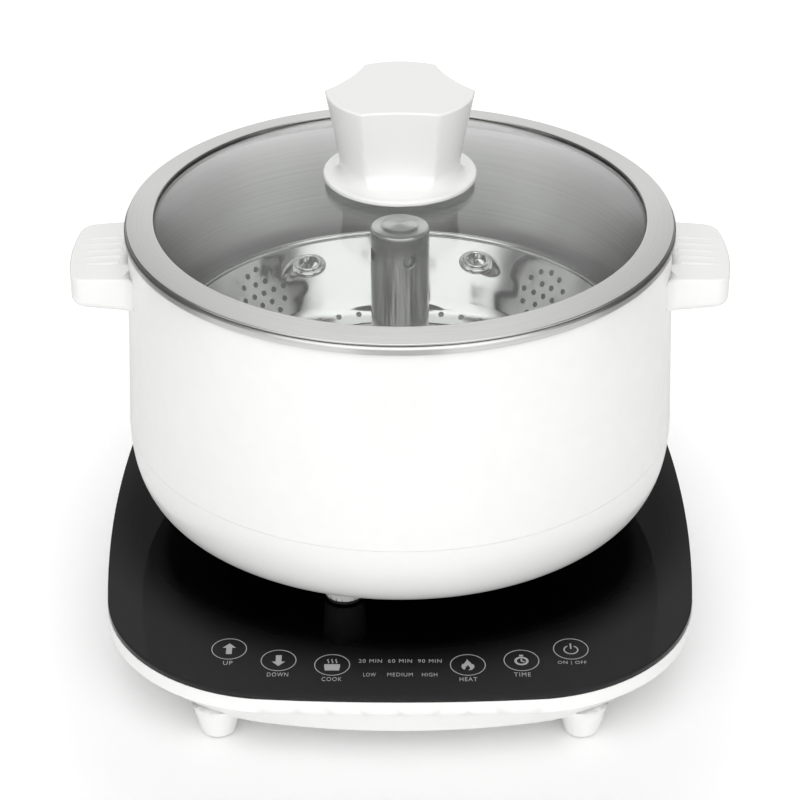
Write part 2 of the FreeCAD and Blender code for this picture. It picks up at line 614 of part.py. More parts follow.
def glass_panel():
    panel = slab(PANEL, GLASS_BOTTOM, GLASS_TOP)
    top_edges = [edge for edge in panel.Edges if edge.BoundBox.ZMin > GLASS_TOP - NEAR]
    panel = panel.makeFillet(GLASS_EDGE_RADIUS, top_edges)
    return panel.cut(disc(HUB_RADIUS + PART_CLEARANCE, GLASS_BOTTOM, GLASS_TOP))


def upper_housing():
    top = BAND_TOP - GASKET_THICKNESS
    rim = slab(PANEL, BAND_BOTTOM, BAND_TOP, -BAND_OVERHANG)
    rim = rim.cut(slab(PANEL, BAND_BOTTOM, BAND_TOP - GLASS_LEDGE_THICKNESS, BAND_WALL))
    rim = rim.cut(slab(PANEL, BAND_BOTTOM, BAND_TOP, LEDGE_INSET))
    rim = rim.cut(panel_gasket())
    inside = belly(BELLY_SET_BACK + BELLY_WALL + PART_CLEARANCE, BELLY_WALL + PART_CLEARANCE,
                   BELLY_FLOOR, BELLY_TOP)
    inside = inside.fuse(slab(PANEL, BELLY_TOP, top, BAND_WALL - JOIN))
    half_web = BASE_WEB_THICKNESS / 2
    for x, y in foot_spots():
        boss = disc(BASE_BOSS_RADIUS, BELLY_FLOOR, BASE_BOSS_TOP, x, y)
        web_ends = sorted([y, y + math.copysign(BASE_WEB_LENGTH, y)])
        web = block(x - half_web, x + half_web, *web_ends, BAND_BOTTOM, BASE_BOSS_TOP)
        rim = rim.fuse(joined([boss, web]).common(inside))
    for fastener in base_screws():
        rim = rim.cut(fastener)
    return rim.removeSplitter()


def panel_gasket():
    low = BAND_TOP - GASKET_THICKNESS
    wide = slab(PANEL, low, BAND_TOP, BAND_WALL)
    return wide.cut(slab(PANEL, low, BAND_TOP, BAND_WALL + GASKET_WIDTH))


def belly(top_inset, bottom_inset, low, high):
    """The lower housing's tapering form between two heights."""
    upper = outline(height=high, inset=top_inset, **PANEL)
    lower = outline(height=low, inset=bottom_inset, **BELLY)
    return Part.makeLoft([lower, upper], True, True)


def lower_housing():
    outside = belly(BELLY_SET_BACK, 0.0, BELLY_BOTTOM, BELLY_TOP)
    outside = outside.fuse(disc(WELL_RADIUS, WELL_BOTTOM, BELLY_BOTTOM + JOIN))
    for x, y in foot_spots():
        cone = Part.makeCone(FOOT_TIP_RADIUS, FOOT_TOP_RADIUS, BELLY_FLOOR - FOOT_PAD_PROUD,
                             Vec(x, y, FOOT_PAD_PROUD))
        bottom = [edge for edge in cone.Edges if edge.BoundBox.ZMax < FOOT_PAD_PROUD + NEAR]
        outside = outside.fuse(cone.makeFillet(FOOT_EDGE_RADIUS, bottom))
    inside = belly(BELLY_SET_BACK + BELLY_WALL, BELLY_WALL, BELLY_FLOOR, BELLY_TOP)
    inside = inside.fuse(disc(WELL_RADIUS - WELL_WALL, WELL_FLOOR, BELLY_FLOOR + JOIN))
    shell = outside.cut(inside)
    pivot_top = WELL_FLOOR + PIVOT_HEIGHT
    shell = shell.fuse(disc(DRIVE_SHAFT_RADIUS + PIVOT_WALL, WELL_FLOOR - JOIN, pivot_top))
    shell = shell.cut(disc(DRIVE_SHAFT_RADIUS + RUNNING_CLEARANCE, WELL_FLOOR, pivot_top))
    for post in gear_plate_posts() + power_board_posts():
        shell = shell.fuse(post)
    for x, y in foot_spots():
        shell = shell.cut(disc(FOOT_PAD_RADIUS, 0.0, FOOT_PAD_THICKNESS, x, y))
        shell = shell.cut(disc(BASE_SCREW_HEAD_RADIUS, FOOT_PAD_THICKNESS, BASE_SCREW_HEAD_SEAT, x, y))
    for fastener in base_screws():
        shell = shell.cut(fastener)
    return shell.cut(cord_gland_body()).removeSplitter()


def foot_pad(x, y):
    return disc(FOOT_PAD_RADIUS, 0.0, FOOT_PAD_THICKNESS, x, y)


def cord_gland_body():
    backward = Vec(0, 1, 0)
    tail_start = Vec(GLAND_X, GLAND_MOUTH_Y - GLAND_LENGTH, GLAND_Z)
    collar_start = Vec(GLAND_X, GLAND_MOUTH_Y - GLAND_REACH - GLAND_COLLAR_THICKNESS, GLAND_Z)
    tail = Part.makeCylinder(GLAND_RADIUS, GLAND_LENGTH, tail_start, backward)
    collar = Part.makeCylinder(GLAND_COLLAR_RADIUS, GLAND_COLLAR_THICKNESS, collar_start, backward)
    return joined([tail, collar])


def cord_gland():
    start = Vec(GLAND_X, GLAND_MOUTH_Y - GLAND_LENGTH, GLAND_Z)
    return cord_gland_body().cut(Part.makeCylinder(GLAND_BORE_RADIUS, GLAND_LENGTH, start, Vec(0, 1, 0)))


def touch_board():
    insets = [inset for _, inset in KEY_SPOTS]
    margin = KEY_RADIUS + TOUCH_BOARD_MARGIN
    y_low = -PANEL["half_y"] + min(insets) - margin
    y_high = -PANEL["half_y"] + max(insets) + margin
    half = TOUCH_BOARD_WIDTH / 2
    board = block(-half, half, y_low, y_high, TOUCH_BOARD_BOTTOM, TOUCH_BOARD_TOP)
    return board.common(slab(PANEL, TOUCH_BOARD_BOTTOM, TOUCH_BOARD_TOP, LEDGE_INSET + PART_CLEARANCE))


def touch_pads():
    front = -PANEL["half_y"]
    return Part.makeCompound([disc(KEY_RADIUS, TOUCH_BOARD_TOP, GLASS_BOTTOM, x, front + inset)
                              for x, inset in KEY_SPOTS])


def power_board_box():
    """The power board's low and high x, y and z."""
    half_width = POWER_BOARD_WIDTH / 2
    half_depth = POWER_BOARD_DEPTH / 2
    low = WELL_FLOOR + BOARD_POST_HEIGHT
    return (POWER_BOARD_X - half_width, POWER_BOARD_X + half_width,
            POT_Y - half_depth, POT_Y + half_depth, low, low + BOARD_THICKNESS)


def power_board():
    return block(*power_board_box())


def power_board_posts():
    x_low, x_high, y_low, y_high, low, _ = power_board_box()
    spots = [(x, y) for x in (x_low + BOARD_POST_INSET, x_high - BOARD_POST_INSET)
             for y in (y_low + BOARD_POST_INSET, y_high - BOARD_POST_INSET)]
    return [disc(BOARD_POST_RADIUS, WELL_FLOOR - JOIN, low, x, y) for x, y in spots]


def power_components():
    x_low, _, y_low, _, _, top = power_board_box()
    parts = []
    for case in (TRANSFORMER, RELAY, TERMINAL, HEAT_SINK):
        parts.append(Part.makeBox(case["width"], case["depth"], case["height"],
                                  Vec(x_low + case["x"], y_low + case["y"], top)))
    parts.append(disc(CAPACITOR["radius"], top, top + CAPACITOR["height"],
                      x_low + CAPACITOR["x"], y_low + CAPACITOR["y"]))
    return Part.makeCompound(parts)


# --- Lift drive in the base -----------------------------------------------------------------
def gear_plate_back():
    return MOTOR_Y + MOTOR_RADIUS + GEAR_PLATE_TAIL


def gear_plate():
    half = GEAR_PLATE_WIDTH / 2
    plate = block(-half, half, POT_Y - half, gear_plate_back(), GEAR_PLATE_BOTTOM, GEAR_PLATE_TOP)
    corners = [edge for edge in plate.Edges if edge.BoundBox.ZLength > GEAR_PLATE_THICKNESS - NEAR]
    plate = plate.makeFillet(GEAR_PLATE_CORNER, corners)
    plate = plate.cut(disc(DRIVE_SHAFT_RADIUS + RUNNING_CLEARANCE, GEAR_PLATE_BOTTOM, GEAR_PLATE_TOP))
    shaft_hole = MOTOR_SHAFT_RADIUS + MOTOR_SHAFT_HOLE_CLEARANCE
    return plate.cut(disc(shaft_hole, GEAR_PLATE_BOTTOM, GEAR_PLATE_TOP, 0.0, MOTOR_Y))


def gear_plate_posts():
    reach = GEAR_PLATE_WIDTH / 2 - GEAR_PLATE_POST_INSET
    back = gear_plate_back() - GEAR_PLATE_POST_INSET
    spots = [(x, y) for x in (-reach, reach) for y in (POT_Y - reach, back)]
    return [disc(GEAR_PLATE_POST_RADIUS, WELL_FLOOR - JOIN, GEAR_PLATE_BOTTOM, x, y) for x, y in spots]


def lift_motor():
    """The motor's can: hollow, with a bearing hole for the shaft in each end."""
    can = disc(MOTOR_RADIUS, MOTOR_BOTTOM, GEAR_PLATE_BOTTOM, 0.0, MOTOR_Y)
    hollow = disc(MOTOR_RADIUS - MOTOR_WALL, MOTOR_BOTTOM + MOTOR_END_WALL,
                  GEAR_PLATE_BOTTOM - MOTOR_END_WALL, 0.0, MOTOR_Y)
    bore_low = MOTOR_BOTTOM + MOTOR_END_WALL - MOTOR_BEARING_DEPTH
    bore = disc(MOTOR_SHAFT_RADIUS + RUNNING_CLEARANCE, bore_low, GEAR_PLATE_BOTTOM, 0.0, MOTOR_Y)
    return can.cut(hollow).cut(bore)


def rotor_and_pinion():
    gap_angle = 270.0 + 180.0 / PINION_TEETH
    teeth = gear(PINION_TEETH, GEAR_BOTTOM, GEAR_TOP, 0.0, MOTOR_Y, gap_angle)
    shaft_low = MOTOR_BOTTOM + MOTOR_END_WALL - MOTOR_BEARING_DEPTH + PART_CLEARANCE
    shaft = disc(MOTOR_SHAFT_RADIUS, shaft_low, GEAR_BOTTOM + JOIN, 0.0, MOTOR_Y)
    drum = disc(MOTOR_RADIUS - MOTOR_WALL - ROTOR_GAP, ROTOR_BOTTOM, ROTOR_TOP, 0.0, MOTOR_Y)
    return joined([teeth, shaft, drum])


def output_gear():
    teeth = gear(OUTPUT_TEETH, GEAR_BOTTOM, GEAR_TOP, 0.0, POT_Y, 90.0)
    return teeth.cut(disc(DRIVE_SHAFT_RADIUS, GEAR_BOTTOM, GEAR_TOP))


def drive_coupler():
    shaft = disc(DRIVE_SHAFT_RADIUS, WELL_FLOOR + PART_CLEARANCE, DRIVE_HEAD_BOTTOM)
    head = disc(DRIVE_HEAD_RADIUS, DRIVE_HEAD_BOTTOM, DRIVE_HEAD_TOP)
    half = DOG_SLOT_WIDTH / 2
    slot = block(-DRIVE_HEAD_RADIUS, DRIVE_HEAD_RADIUS, POT_Y - half, POT_Y + half,
                 DRIVE_HEAD_TOP - DOG_SLOT_DEPTH, DRIVE_HEAD_TOP)
    return joined([shaft, head]).cut(slot)


def coupler_hub():
    flange = disc(HUB_FLANGE_RADIUS, HUB_FLANGE_BOTTOM, GLASS_BOTTOM)
    body = turned([(0, HUB_FLANGE_BOTTOM), (HUB_RADIUS, HUB_FLANGE_BOTTOM),
                   (HUB_RADIUS, HUB_TOP, HUB_EDGE_RADIUS), (0, HUB_TOP)])
    hub = joined([flange, body])
    hub = hub.cut(disc(DRIVE_HEAD_RADIUS + RUNNING_CLEARANCE, HUB_FLANGE_BOTTOM, HUB_TOP))
    for contact in contact_rings().Solids:
        hub = hub.cut(contact)
    return hub


def contact_rings():
    half = CONTACT_WIDTH / 2
    return Part.makeCompound([ring(radius + half, radius - half, HUB_TOP - CONTACT_DEPTH, HUB_TOP)
                              for radius in CONTACT_RADII])


# --- Pot -----------------------------------------------------------------------------------
def shell_radius(height):
    """The outside radius of the pot's tapering wall."""
    share = (SHELL_TOP - height) / (SHELL_TOP - POT_SEAM)
    return SHELL_TOP_RADIUS + share * (SHELL_SEAM_RADIUS - SHELL_TOP_RADIUS)


def outer_shell():
    lip_inner = SHELL_TOP_RADIUS - SHELL_LIP_WIDTH
    lip_bottom = SHELL_TOP - SHELL_WALL
    shell = turned([(SHELL_SEAM_RADIUS, POT_SEAM), (SHELL_TOP_RADIUS, SHELL_TOP, SHELL_EDGE_RADIUS),
                    (lip_inner, SHELL_TOP),
                    (lip_inner, lip_bottom),
                    (shell_radius(lip_bottom) - SHELL_WALL, lip_bottom),
                    (SHELL_SEAM_RADIUS - SHELL_WALL, POT_SEAM)])
    for fastener in handle_screws().Solids:
        shell = shell.cut(fastener)
    return shell


def cover_form(wall):
    """The rounded underside's form, thinned by wall all round."""
    reach = SHELL_SEAM_RADIUS - COVER_FLAT_RADIUS - wall
    drop = COVER_TOP - POT_BOTTOM - wall
    stations = []
    for step in range(COVER_STEPS + 1):
        turn = math.pi / 2 * step / COVER_STEPS
        out = COVER_FLAT_RADIUS + reach * math.cos(turn) ** (2 / COVER_FULLNESS)
        down = drop * math.sin(turn) ** (2 / COVER_FULLNESS)
        stations.append(Vec(out, POT_Y, COVER_TOP - down))
    curve = Part.BSplineCurve()
    curve.interpolate(Points=stations, InitialTangent=Vec(0, 0, -1), FinalTangent=Vec(-1, 0, 0))
    axis_low = Vec(0, POT_Y, COVER_TOP - drop)
    axis_high = Vec(0, POT_Y, COVER_TOP)
    lines = [Part.LineSegment(stations[-1], axis_low).toShape(),
             Part.LineSegment(axis_low, axis_high).toShape(),
             Part.LineSegment(axis_high, stations[0]).toShape()]
    return spun(Part.Face(Part.Wire([curve.toShape()] + lines)))


def bottom_cover():
    cover = cover_form(0.0).cut(cover_form(COVER_WALL))
    cover = cover.cut(disc(CONNECTOR_RADIUS + PART_CLEARANCE, POT_BOTTOM, COVER_TOP))
    lip_outer = SHELL_SEAM_RADIUS - SHELL_WALL - PART_CLEARANCE
    lip_inner = lip_outer - COVER_LIP_WALL
    root_outer = SHELL_SEAM_RADIUS - COVER_WALL / 2
    root_bottom = COVER_TOP - COVER_LIP_ROOT
    lip = turned([(lip_inner, root_bottom), (root_outer, root_bottom), (root_outer, COVER_TOP),
                  (lip_outer, COVER_TOP), (lip_outer, COVER_TOP + COVER_LIP_HEIGHT),
                  (lip_inner, COVER_TOP + COVER_LIP_HEIGHT)])
    return joined([cover, lip])


def inner_pot():
    outer = VESSEL_RADIUS + VESSEL_SHEET
    flange_low = FLANGE_TOP - VESSEL_SHEET
    inner_flange = FLANGE_RADIUS - VESSEL_SHEET
    inner_round = FLANGE_EDGE_RADIUS - VESSEL_SHEET
    return turned([(FLANGE_RADIUS, FLANGE_BOTTOM), (FLANGE_RADIUS, FLANGE_TOP, FLANGE_EDGE_RADIUS),
                   (VESSEL_RADIUS, FLANGE_TOP, FLANGE_EDGE_RADIUS),
                   (VESSEL_RADIUS, VESSEL_FLOOR, VESSEL_CORNER_RADIUS),
                   (CHIMNEY_RADIUS, VESSEL_FLOOR), (CHIMNEY_RADIUS, VESSEL_UNDERSIDE),
                   (outer, VESSEL_UNDERSIDE, VESSEL_CORNER_RADIUS + VESSEL_SHEET),
                   (outer, flange_low, inner_round), (inner_flange, flange_low, inner_round),
                   (inner_flange, FLANGE_BOTTOM)])


def rim_gasket():
    outer = SHELL_TOP_RADIUS - RIM_GASKET_INSET
    return ring(outer, outer - RIM_GASKET_WIDTH, SHELL_TOP, FLANGE_TOP - VESSEL_SHEET)


def pot_foot(angle):
    spot = around(POT_FOOT_CIRCLE_RADIUS, angle)
    low = GLASS_TOP + POT_FOOT_PAD_THICKNESS
    return Part.makeCone(POT_FOOT_RADIUS, POT_FOOT_TOP_RADIUS, POT_BOTTOM - low,
                         Vec(spot.x, spot.y, low))


def pot_foot_pads():
    spots = [around(POT_FOOT_CIRCLE_RADIUS, angle) for angle in POT_FOOT_ANGLES]
    high = GLASS_TOP + POT_FOOT_PAD_THICKNESS
    radius = POT_FOOT_RADIUS - POT_FOOT_PAD_INSET
    return Part.makeCompound([disc(radius, GLASS_TOP, high, spot.x, spot.y) for spot in spots])


def heating_element():
    centre = Vec(0, POT_Y, HEATER_BOTTOM - ELEMENT_TUBE_RADIUS + ELEMENT_SUNK)
    tube = Part.makeTorus(ELEMENT_CIRCLE_RADIUS, ELEMENT_TUBE_RADIUS, centre, UP, 0, 360, ELEMENT_SWEEP)
    tube.rotate(Vec(0, POT_Y, 0), UP, ELEMENT_START)
    return tube


def heater_plate():
    return ring(HEATER_RADIUS, HEATER_BORE_RADIUS, HEATER_BOTTOM, VESSEL_UNDERSIDE).cut(heating_element())


def thermostat():
    return disc(THERMOSTAT_RADIUS, HEATER_BOTTOM - THERMOSTAT_HEIGHT, HEATER_BOTTOM, THERMOSTAT_X)


def connector_pins():
    pins = []
    for index, radius in enumerate(CONTACT_RADII):
        spot = around(radius, CONTACT_FIRST_ANGLE + 360.0 * index / CONTACT_COUNT)
        pins.append(disc(CONTACT_PIN_RADIUS, HUB_TOP + PART_CLEARANCE, CONNECTOR_TOP + CONTACT_PIN_TAIL,
                         spot.x, spot.y))
    return Part.makeCompound(pins)


def pot_connector():
    flange_low = CONNECTOR_TOP - CONNECTOR_FLANGE_THICKNESS
    body = joined([disc(CONNECTOR_RADIUS, CONNECTOR_BOTTOM, CONNECTOR_TOP),
                   disc(CONNECTOR_FLANGE_RADIUS, flange_low, CONNECTOR_TOP)])
    body = body.cut(disc(HUB_RADIUS + HUB_SLIDE_CLEARANCE, CONNECTOR_BOTTOM, CONNECTOR_CEILING))
    body = body.cut(disc(DRIVE_SHAFT_RADIUS + RUNNING_CLEARANCE, CONNECTOR_CEILING, CONNECTOR_TOP))
    for pin in connector_pins().Solids:
        body = body.cut(pin)
    return body


# --- Handles: modelled on the right (+X) and mirrored to the left ------------------------------
def shell_form(offset, low, high):
    """A solid cone whose side lies at offset from the outer shell's outside."""
    return Part.makeCone(shell_radius(low) + offset, shell_radius(high) + offset, high - low,
                         Vec(0, POT_Y, low))


def handle_plan(place, inset=0.0):
    """The handle seen from above, its root reaching inside the pot's wall."""
    bow_rise = HANDLE_REACH - HANDLE_TIP_X
    bow_spread = math.sqrt(HANDLE_TIP_HALF_WIDTH ** 2 - 2 * HANDLE_BOW_RADIUS * bow_rise)
    bow_slope = (HANDLE_TIP_HALF_WIDTH - bow_spread) / HANDLE_BOW_RADIUS
    bow_tip = HANDLE_TIP_X + HANDLE_TIP_HALF_WIDTH * bow_slope
    near = [(HANDLE_INNER_X, HANDLE_FAIRING_END_Y), (HANDLE_FAIRING_END_X, HANDLE_FAIRING_END_Y),
            (HANDLE_FAIRING_X, HANDLE_ROOT_HALF_WIDTH, HANDLE_FAIRING_RADIUS),
            (HANDLE_TIP_X, HANDLE_TIP_HALF_WIDTH, HANDLE_CORNER_RADIUS)]
    tip = [(bow_tip, 0.0, HANDLE_BOW_RADIUS)]
    far = [(point[0], -point[1], *point[2:]) for point in reversed(near)]
    return rounded_wire(near + tip + far, place)


def handle_side_form():
    """The handle seen from the front: a bar that thins a little towards its tip."""
    tip_x = HANDLE_REACH + HANDLE_STOCK
    inner_x = HANDLE_INNER_X - HANDLE_STOCK
    root_x = SHELL_TOP_RADIUS
    top_slope = (HANDLE_TOP_TIP - HANDLE_TOP_ROOT) / (HANDLE_REACH - root_x)
    bottom_slope = (HANDLE_BOTTOM_TIP - HANDLE_BOTTOM_ROOT) / (HANDLE_REACH - root_x)

    def top_at(x):
        return HANDLE_TOP_ROOT + (x - root_x) * top_slope

    def bottom_at(x):
        return HANDLE_BOTTOM_ROOT + (x - root_x) * bottom_slope

    half = HANDLE_FAIRING_END_Y + HANDLE_STOCK
    corners = [(inner_x, bottom_at(inner_x)), (tip_x, bottom_at(tip_x)),
               (tip_x, top_at(tip_x)), (inner_x, top_at(inner_x))]
    points = [Vec(x, POT_Y - half, z) for x, z in corners]
    points.append(points[0])
    return Part.Face(Part.makePolygon(points)).extrude(Vec(0, 2 * half, 0))


def handle_ridges():
    ridges = []
    for index in range(RIDGE_COUNT):
        y = POT_Y + (index - (RIDGE_COUNT - 1) / 2) * RIDGE_PITCH
        start_z = HANDLE_TOP_ROOT + RIDGE_HEIGHT - RIDGE_RADIUS
        end_z = HANDLE_TOP_TIP + RIDGE_HEIGHT - RIDGE_RADIUS
        start = Vec(RIDGE_START_X, y, start_z)
        run = Vec(RIDGE_END_X, y, end_z) - start
        ridges.append(Part.makeCylinder(RIDGE_RADIUS, run.Length, start, run))
    return ridges


def finger_recess():
    """The hollow under the grip."""
    half = HANDLE_TIP_HALF_WIDTH - RECESS_WALL
    end_x = HANDLE_TIP_X - RECESS_WALL
    low = HANDLE_BOTTOM_ROOT - HANDLE_STOCK
    box = block(RECESS_START_X, end_x, POT_Y - half, POT_Y + half, low, HANDLE_BOTTOM_TIP + RECESS_DEPTH)
    corners = [edge for edge in box.Edges if edge.BoundBox.ZLength > RECESS_DEPTH]
    return box.makeFillet(RECESS_CORNER_RADIUS, corners)


def right_handle_screws():
    """Two screws from inside the wall; each head just clears the bracket's curve."""
    inside = shell_radius(HANDLE_SCREW_Z + HANDLE_SCREW_HEAD_RADIUS) - SHELL_WALL - BRACKET_THICKNESS
    head_edge = HANDLE_SCREW_Y + HANDLE_SCREW_HEAD_RADIUS
    seat_x = math.sqrt(inside ** 2 - head_edge ** 2) - RUNNING_CLEARANCE
    length = SHELL_WALL + BRACKET_THICKNESS + HANDLE_SCREW_DEPTH
    return [screw(HANDLE_SCREW_HEAD_RADIUS, HANDLE_SCREW_HEAD_HEIGHT, HANDLE_SCREW_RADIUS, length,
                  Vec(seat_x, POT_Y + y, HANDLE_SCREW_Z), Vec(1, 0, 0))
            for y in (-HANDLE_SCREW_Y, HANDLE_SCREW_Y)]


def right_handle():
    plan_low = HANDLE_BOTTOM_ROOT - HANDLE_STOCK
    plan_high = HANDLE_TOP_ROOT + HANDLE_STOCK

    def lay(point):
        return Vec(point.x, POT_Y + point.y, plan_low)

    plan = Part.Face(handle_plan(lay)).extrude(Vec(0, 0, plan_high - plan_low))
    grip = plan.common(handle_side_form())
    middle = (HANDLE_BOTTOM_TIP + HANDLE_TOP_TIP) / 2
    low_edges = []
    top_edges = []
    for edge in grip.Edges:
        box = edge.BoundBox
        if box.XMax < SHELL_TOP_RADIUS or box.ZLength > HANDLE_CORNER_RADIUS:
            continue
        if box.ZMax < middle:
            low_edges.append(edge)
        else:
            top_edges.append(edge)
    grip = grip.makeFillet(HANDLE_BOTTOM_EDGE_RADIUS, low_edges)
    grip = grip.makeFillet(HANDLE_TOP_EDGE_RADIUS, top_edges)
    grip = joined([grip] + handle_ridges()).cut(finger_recess())
    grip = grip.cut(shell_form(0.0, plan_low, plan_high))
    for fastener in right_handle_screws():
        grip = grip.cut(fastener)
    return grip


def right_bracket():
    outer = shell_form(-SHELL_WALL, BRACKET_BOTTOM, BRACKET_TOP)
    inner = shell_form(-SHELL_WALL - BRACKET_THICKNESS, BRACKET_BOTTOM, BRACKET_TOP)
    window = block(0.0, SHELL_TOP_RADIUS, POT_Y - BRACKET_HALF_WIDTH, POT_Y + BRACKET_HALF_WIDTH,
                   BRACKET_BOTTOM, BRACKET_TOP)
    bracket = outer.cut(inner).common(window)
    for fastener in right_handle_screws():
        bracket = bracket.cut(fastener)
    return bracket


def mirrored(shape):
    return shape.mirror(Vec(0, 0, 0), Vec(1, 0, 0))


def handle_screws():
    right = right_handle_screws()
    return Part.makeCompound(right + [mirrored(fastener) for fastener in right])


# --- Lift column ------------------------------------------------------------------------------
def chimney_key(width, depth, low, high):
    """The guide rib inside the chimney, or the groove that clears it."""
    half = width / 2
    wall_middle = POT_Y + CHIMNEY_BORE + CHIMNEY_WALL / 2
    return block(-half, half, POT_Y + CHIMNEY_BORE - depth, wall_middle, low, high)


def chimney_tube():
    tube = disc(CHIMNEY_RADIUS, CHIMNEY_FOOT, CHIMNEY_TOP)
    flange = disc(CHIMNEY_FLANGE_RADIUS, VESSEL_FLOOR, VESSEL_FLOOR + CHIMNEY_FLANGE_THICKNESS)
    tube = joined([tube, flange]).cut(disc(CHIMNEY_BORE, CHIMNEY_FOOT, CHIMNEY_TOP))
    return joined([tube, chimney_key(CHIMNEY_KEY_WIDTH, CHIMNEY_KEY_DEPTH, BEARING_TOP, CHIMNEY_TOP)])


def screw_bearing():
    return ring(CHIMNEY_BORE, SCREW_RADIUS + RUNNING_CLEARANCE, CHIMNEY_FOOT, BEARING_TOP)


def lead_screw():
    half = DOG_THICKNESS / 2
    blade = block(-DOG_WIDTH / 2, DOG_WIDTH / 2, POT_Y - half, POT_Y + half,
                  DOG_BOTTOM, CONNECTOR_CEILING - PART_CLEARANCE)
    collar_low = CONNECTOR_TOP + SCREW_COLLAR_GAP
    collar_high = collar_low + SCREW_COLLAR_THICKNESS
    journal = disc(DRIVE_SHAFT_RADIUS, DRIVE_HEAD_TOP + PART_CLEARANCE, collar_high)
    collar = disc(SCREW_COLLAR_RADIUS, collar_low, collar_high)
    shaft = disc(SCREW_RADIUS, collar_low, SCREW_TOP)
    return joined([blade, journal, collar, shaft])


def lift_nut():
    nut = ring(CHIMNEY_BORE - PART_CLEARANCE, SCREW_RADIUS + RUNNING_CLEARANCE, NUT_BOTTOM, NUT_TOP)
    groove_width = CHIMNEY_KEY_WIDTH + 2 * PART_CLEARANCE
    return nut.cut(chimney_key(groove_width, CHIMNEY_KEY_DEPTH + PART_CLEARANCE, NUT_BOTTOM, NUT_TOP))


def push_tube():
    tube = disc(PUSH_TUBE_RADIUS, NUT_TOP, PUSH_TUBE_TOP)
    return tube.cut(disc(PUSH_TUBE_BORE, NUT_TOP, PUSH_TUBE_TOP - PUSH_TUBE_WALL))


# --- Basket -----------------------------------------------------------------------------------
def eyelet(angle):
    """A rolled lifting ring, fixed to the inside of the wall by its far edge."""
    turn = math.radians(angle)
    outward = Vec(math.cos(turn), math.sin(turn), -BASKET_WALL_SLOPE).normalize()
    splay = math.copysign(EYELET_SPLAY, outward.x)
    lean = math.copysign(EYELET_LEAN, outward.y)
    facing = Vec(splay, -lean, 1).normalize()
    flat_reach = (EYELET_RADIUS - EYELET_EDGE_RADIUS) * math.sqrt(1 - facing.dot(outward) ** 2)
    reach = flat_reach + EYELET_EDGE_RADIUS - EYELET_BITE
    spot = around(EYELET_WALL_RADIUS - reach * BASKET_SLANT, angle)
    flange_top = EYELET_HEIGHT / 2
    collar_top = flange_top + EYELET_COLLAR_RISE
    solid = turned([(EYELET_HOLE_RADIUS, -flange_top, EYELET_COLLAR_EDGE),
                    (EYELET_RADIUS, -flange_top, EYELET_EDGE_RADIUS),
                    (EYELET_RADIUS, flange_top, EYELET_EDGE_RADIUS),
                    (EYELET_COLLAR_RADIUS, flange_top),
                    (EYELET_COLLAR_RADIUS, collar_top, EYELET_COLLAR_EDGE),
                    (EYELET_HOLE_RADIUS, collar_top, EYELET_COLLAR_EDGE)])
    place = Vec(spot.x, spot.y - POT_Y, EYELET_Z)
    solid.Placement = FreeCAD.Placement(place, FreeCAD.Rotation(UP, facing), Vec(0, POT_Y, 0))
    return solid


def basket_rim():
    return Part.makeTorus(BASKET_RIM_RADIUS, BASKET_BEAD_RADIUS, Vec(0, POT_Y, BASKET_RIM_Z), UP)


def basket_bowl():
    inner_floor = BASKET_FLOOR + BASKET_SHEET
    inner_corner = BASKET_CORNER_X - BASKET_SHEET * (BASKET_SLANT - BASKET_WALL_SLOPE)
    bowl = turned([(SLEEVE_RADIUS, BASKET_FLOOR), (BASKET_CORNER_X, BASKET_FLOOR, BASKET_CORNER_RADIUS),
                   (BASKET_RIM_RADIUS, BASKET_RIM_Z), (BASKET_INNER_RADIUS, BASKET_RIM_Z),
                   (inner_corner, inner_floor, BASKET_CORNER_RADIUS - BASKET_SHEET),
                   (SLEEVE_RADIUS, inner_floor)])
    bowl = bowl.cut(basket_rim())
    for angle in EYELET_ANGLES:
        bowl = bowl.cut(eyelet(angle))
    return bowl


def centre_sleeve():
    sleeve = ring(SLEEVE_RADIUS, SLEEVE_BORE, BASKET_FLOOR, SLEEVE_TOP)
    for angle in SLEEVE_PORT_ANGLES:
        outward = around(1.0, angle) - Vec(0, POT_Y, 0)
        start = Vec(0, POT_Y, SLEEVE_PORT_Z) + outward * COLLAR_BORE
        sleeve = sleeve.cut(Part.makeCylinder(SLEEVE_PORT_RADIUS, SLEEVE_RADIUS, start, outward))
    return sleeve


def sleeve_cap():
    step_z = CAP_TOP - CAP_STEP_HEIGHT - CAP_CROWN
    return turned([(0, SLEEVE_TOP - CAP_PLUG_DEPTH), (SLEEVE_BORE, SLEEVE_TOP - CAP_PLUG_DEPTH),
                   (SLEEVE_BORE, SLEEVE_TOP), (SLEEVE_RADIUS, SLEEVE_TOP),
                   (SLEEVE_RADIUS, step_z - CAP_STEP_DRAFT, CAP_SHOULDER_RADIUS), (CAP_STEP_RADIUS, step_z),
                   (CAP_STEP_RADIUS - CAP_STEP_DRAFT, step_z + CAP_STEP_HEIGHT), (0, CAP_TOP)])


def sleeve_collar():
    return ring(SLEEVE_BORE, COLLAR_BORE, BASKET_FLOOR, BASKET_FLOOR + COLLAR_HEIGHT)


# --- Lid --------------------------------------------------------------------------------------
def lid_rim():
    under_outer = LID_RADIUS - LID_SHEET
    under_inner = LID_INNER_RADIUS + LID_SHEET
    return turned([(LID_RADIUS, LID_EDGE_BOTTOM), (LID_RADIUS, LID_EDGE_TOP, LID_FOLD_RADIUS),
                   (LID_INNER_RADIUS, LID_INNER_TOP, LID_FOLD_RADIUS), (LID_INNER_RADIUS, LID_INNER_BOTTOM),
                   (under_inner, LID_INNER_BOTTOM), (under_inner, LID_INNER_TOP - LID_SHEET),
                   (under_outer, LID_EDGE_TOP - LID_SHEET + LID_SLOPE * LID_SHEET),
                   (under_outer, LID_EDGE_BOTTOM)])


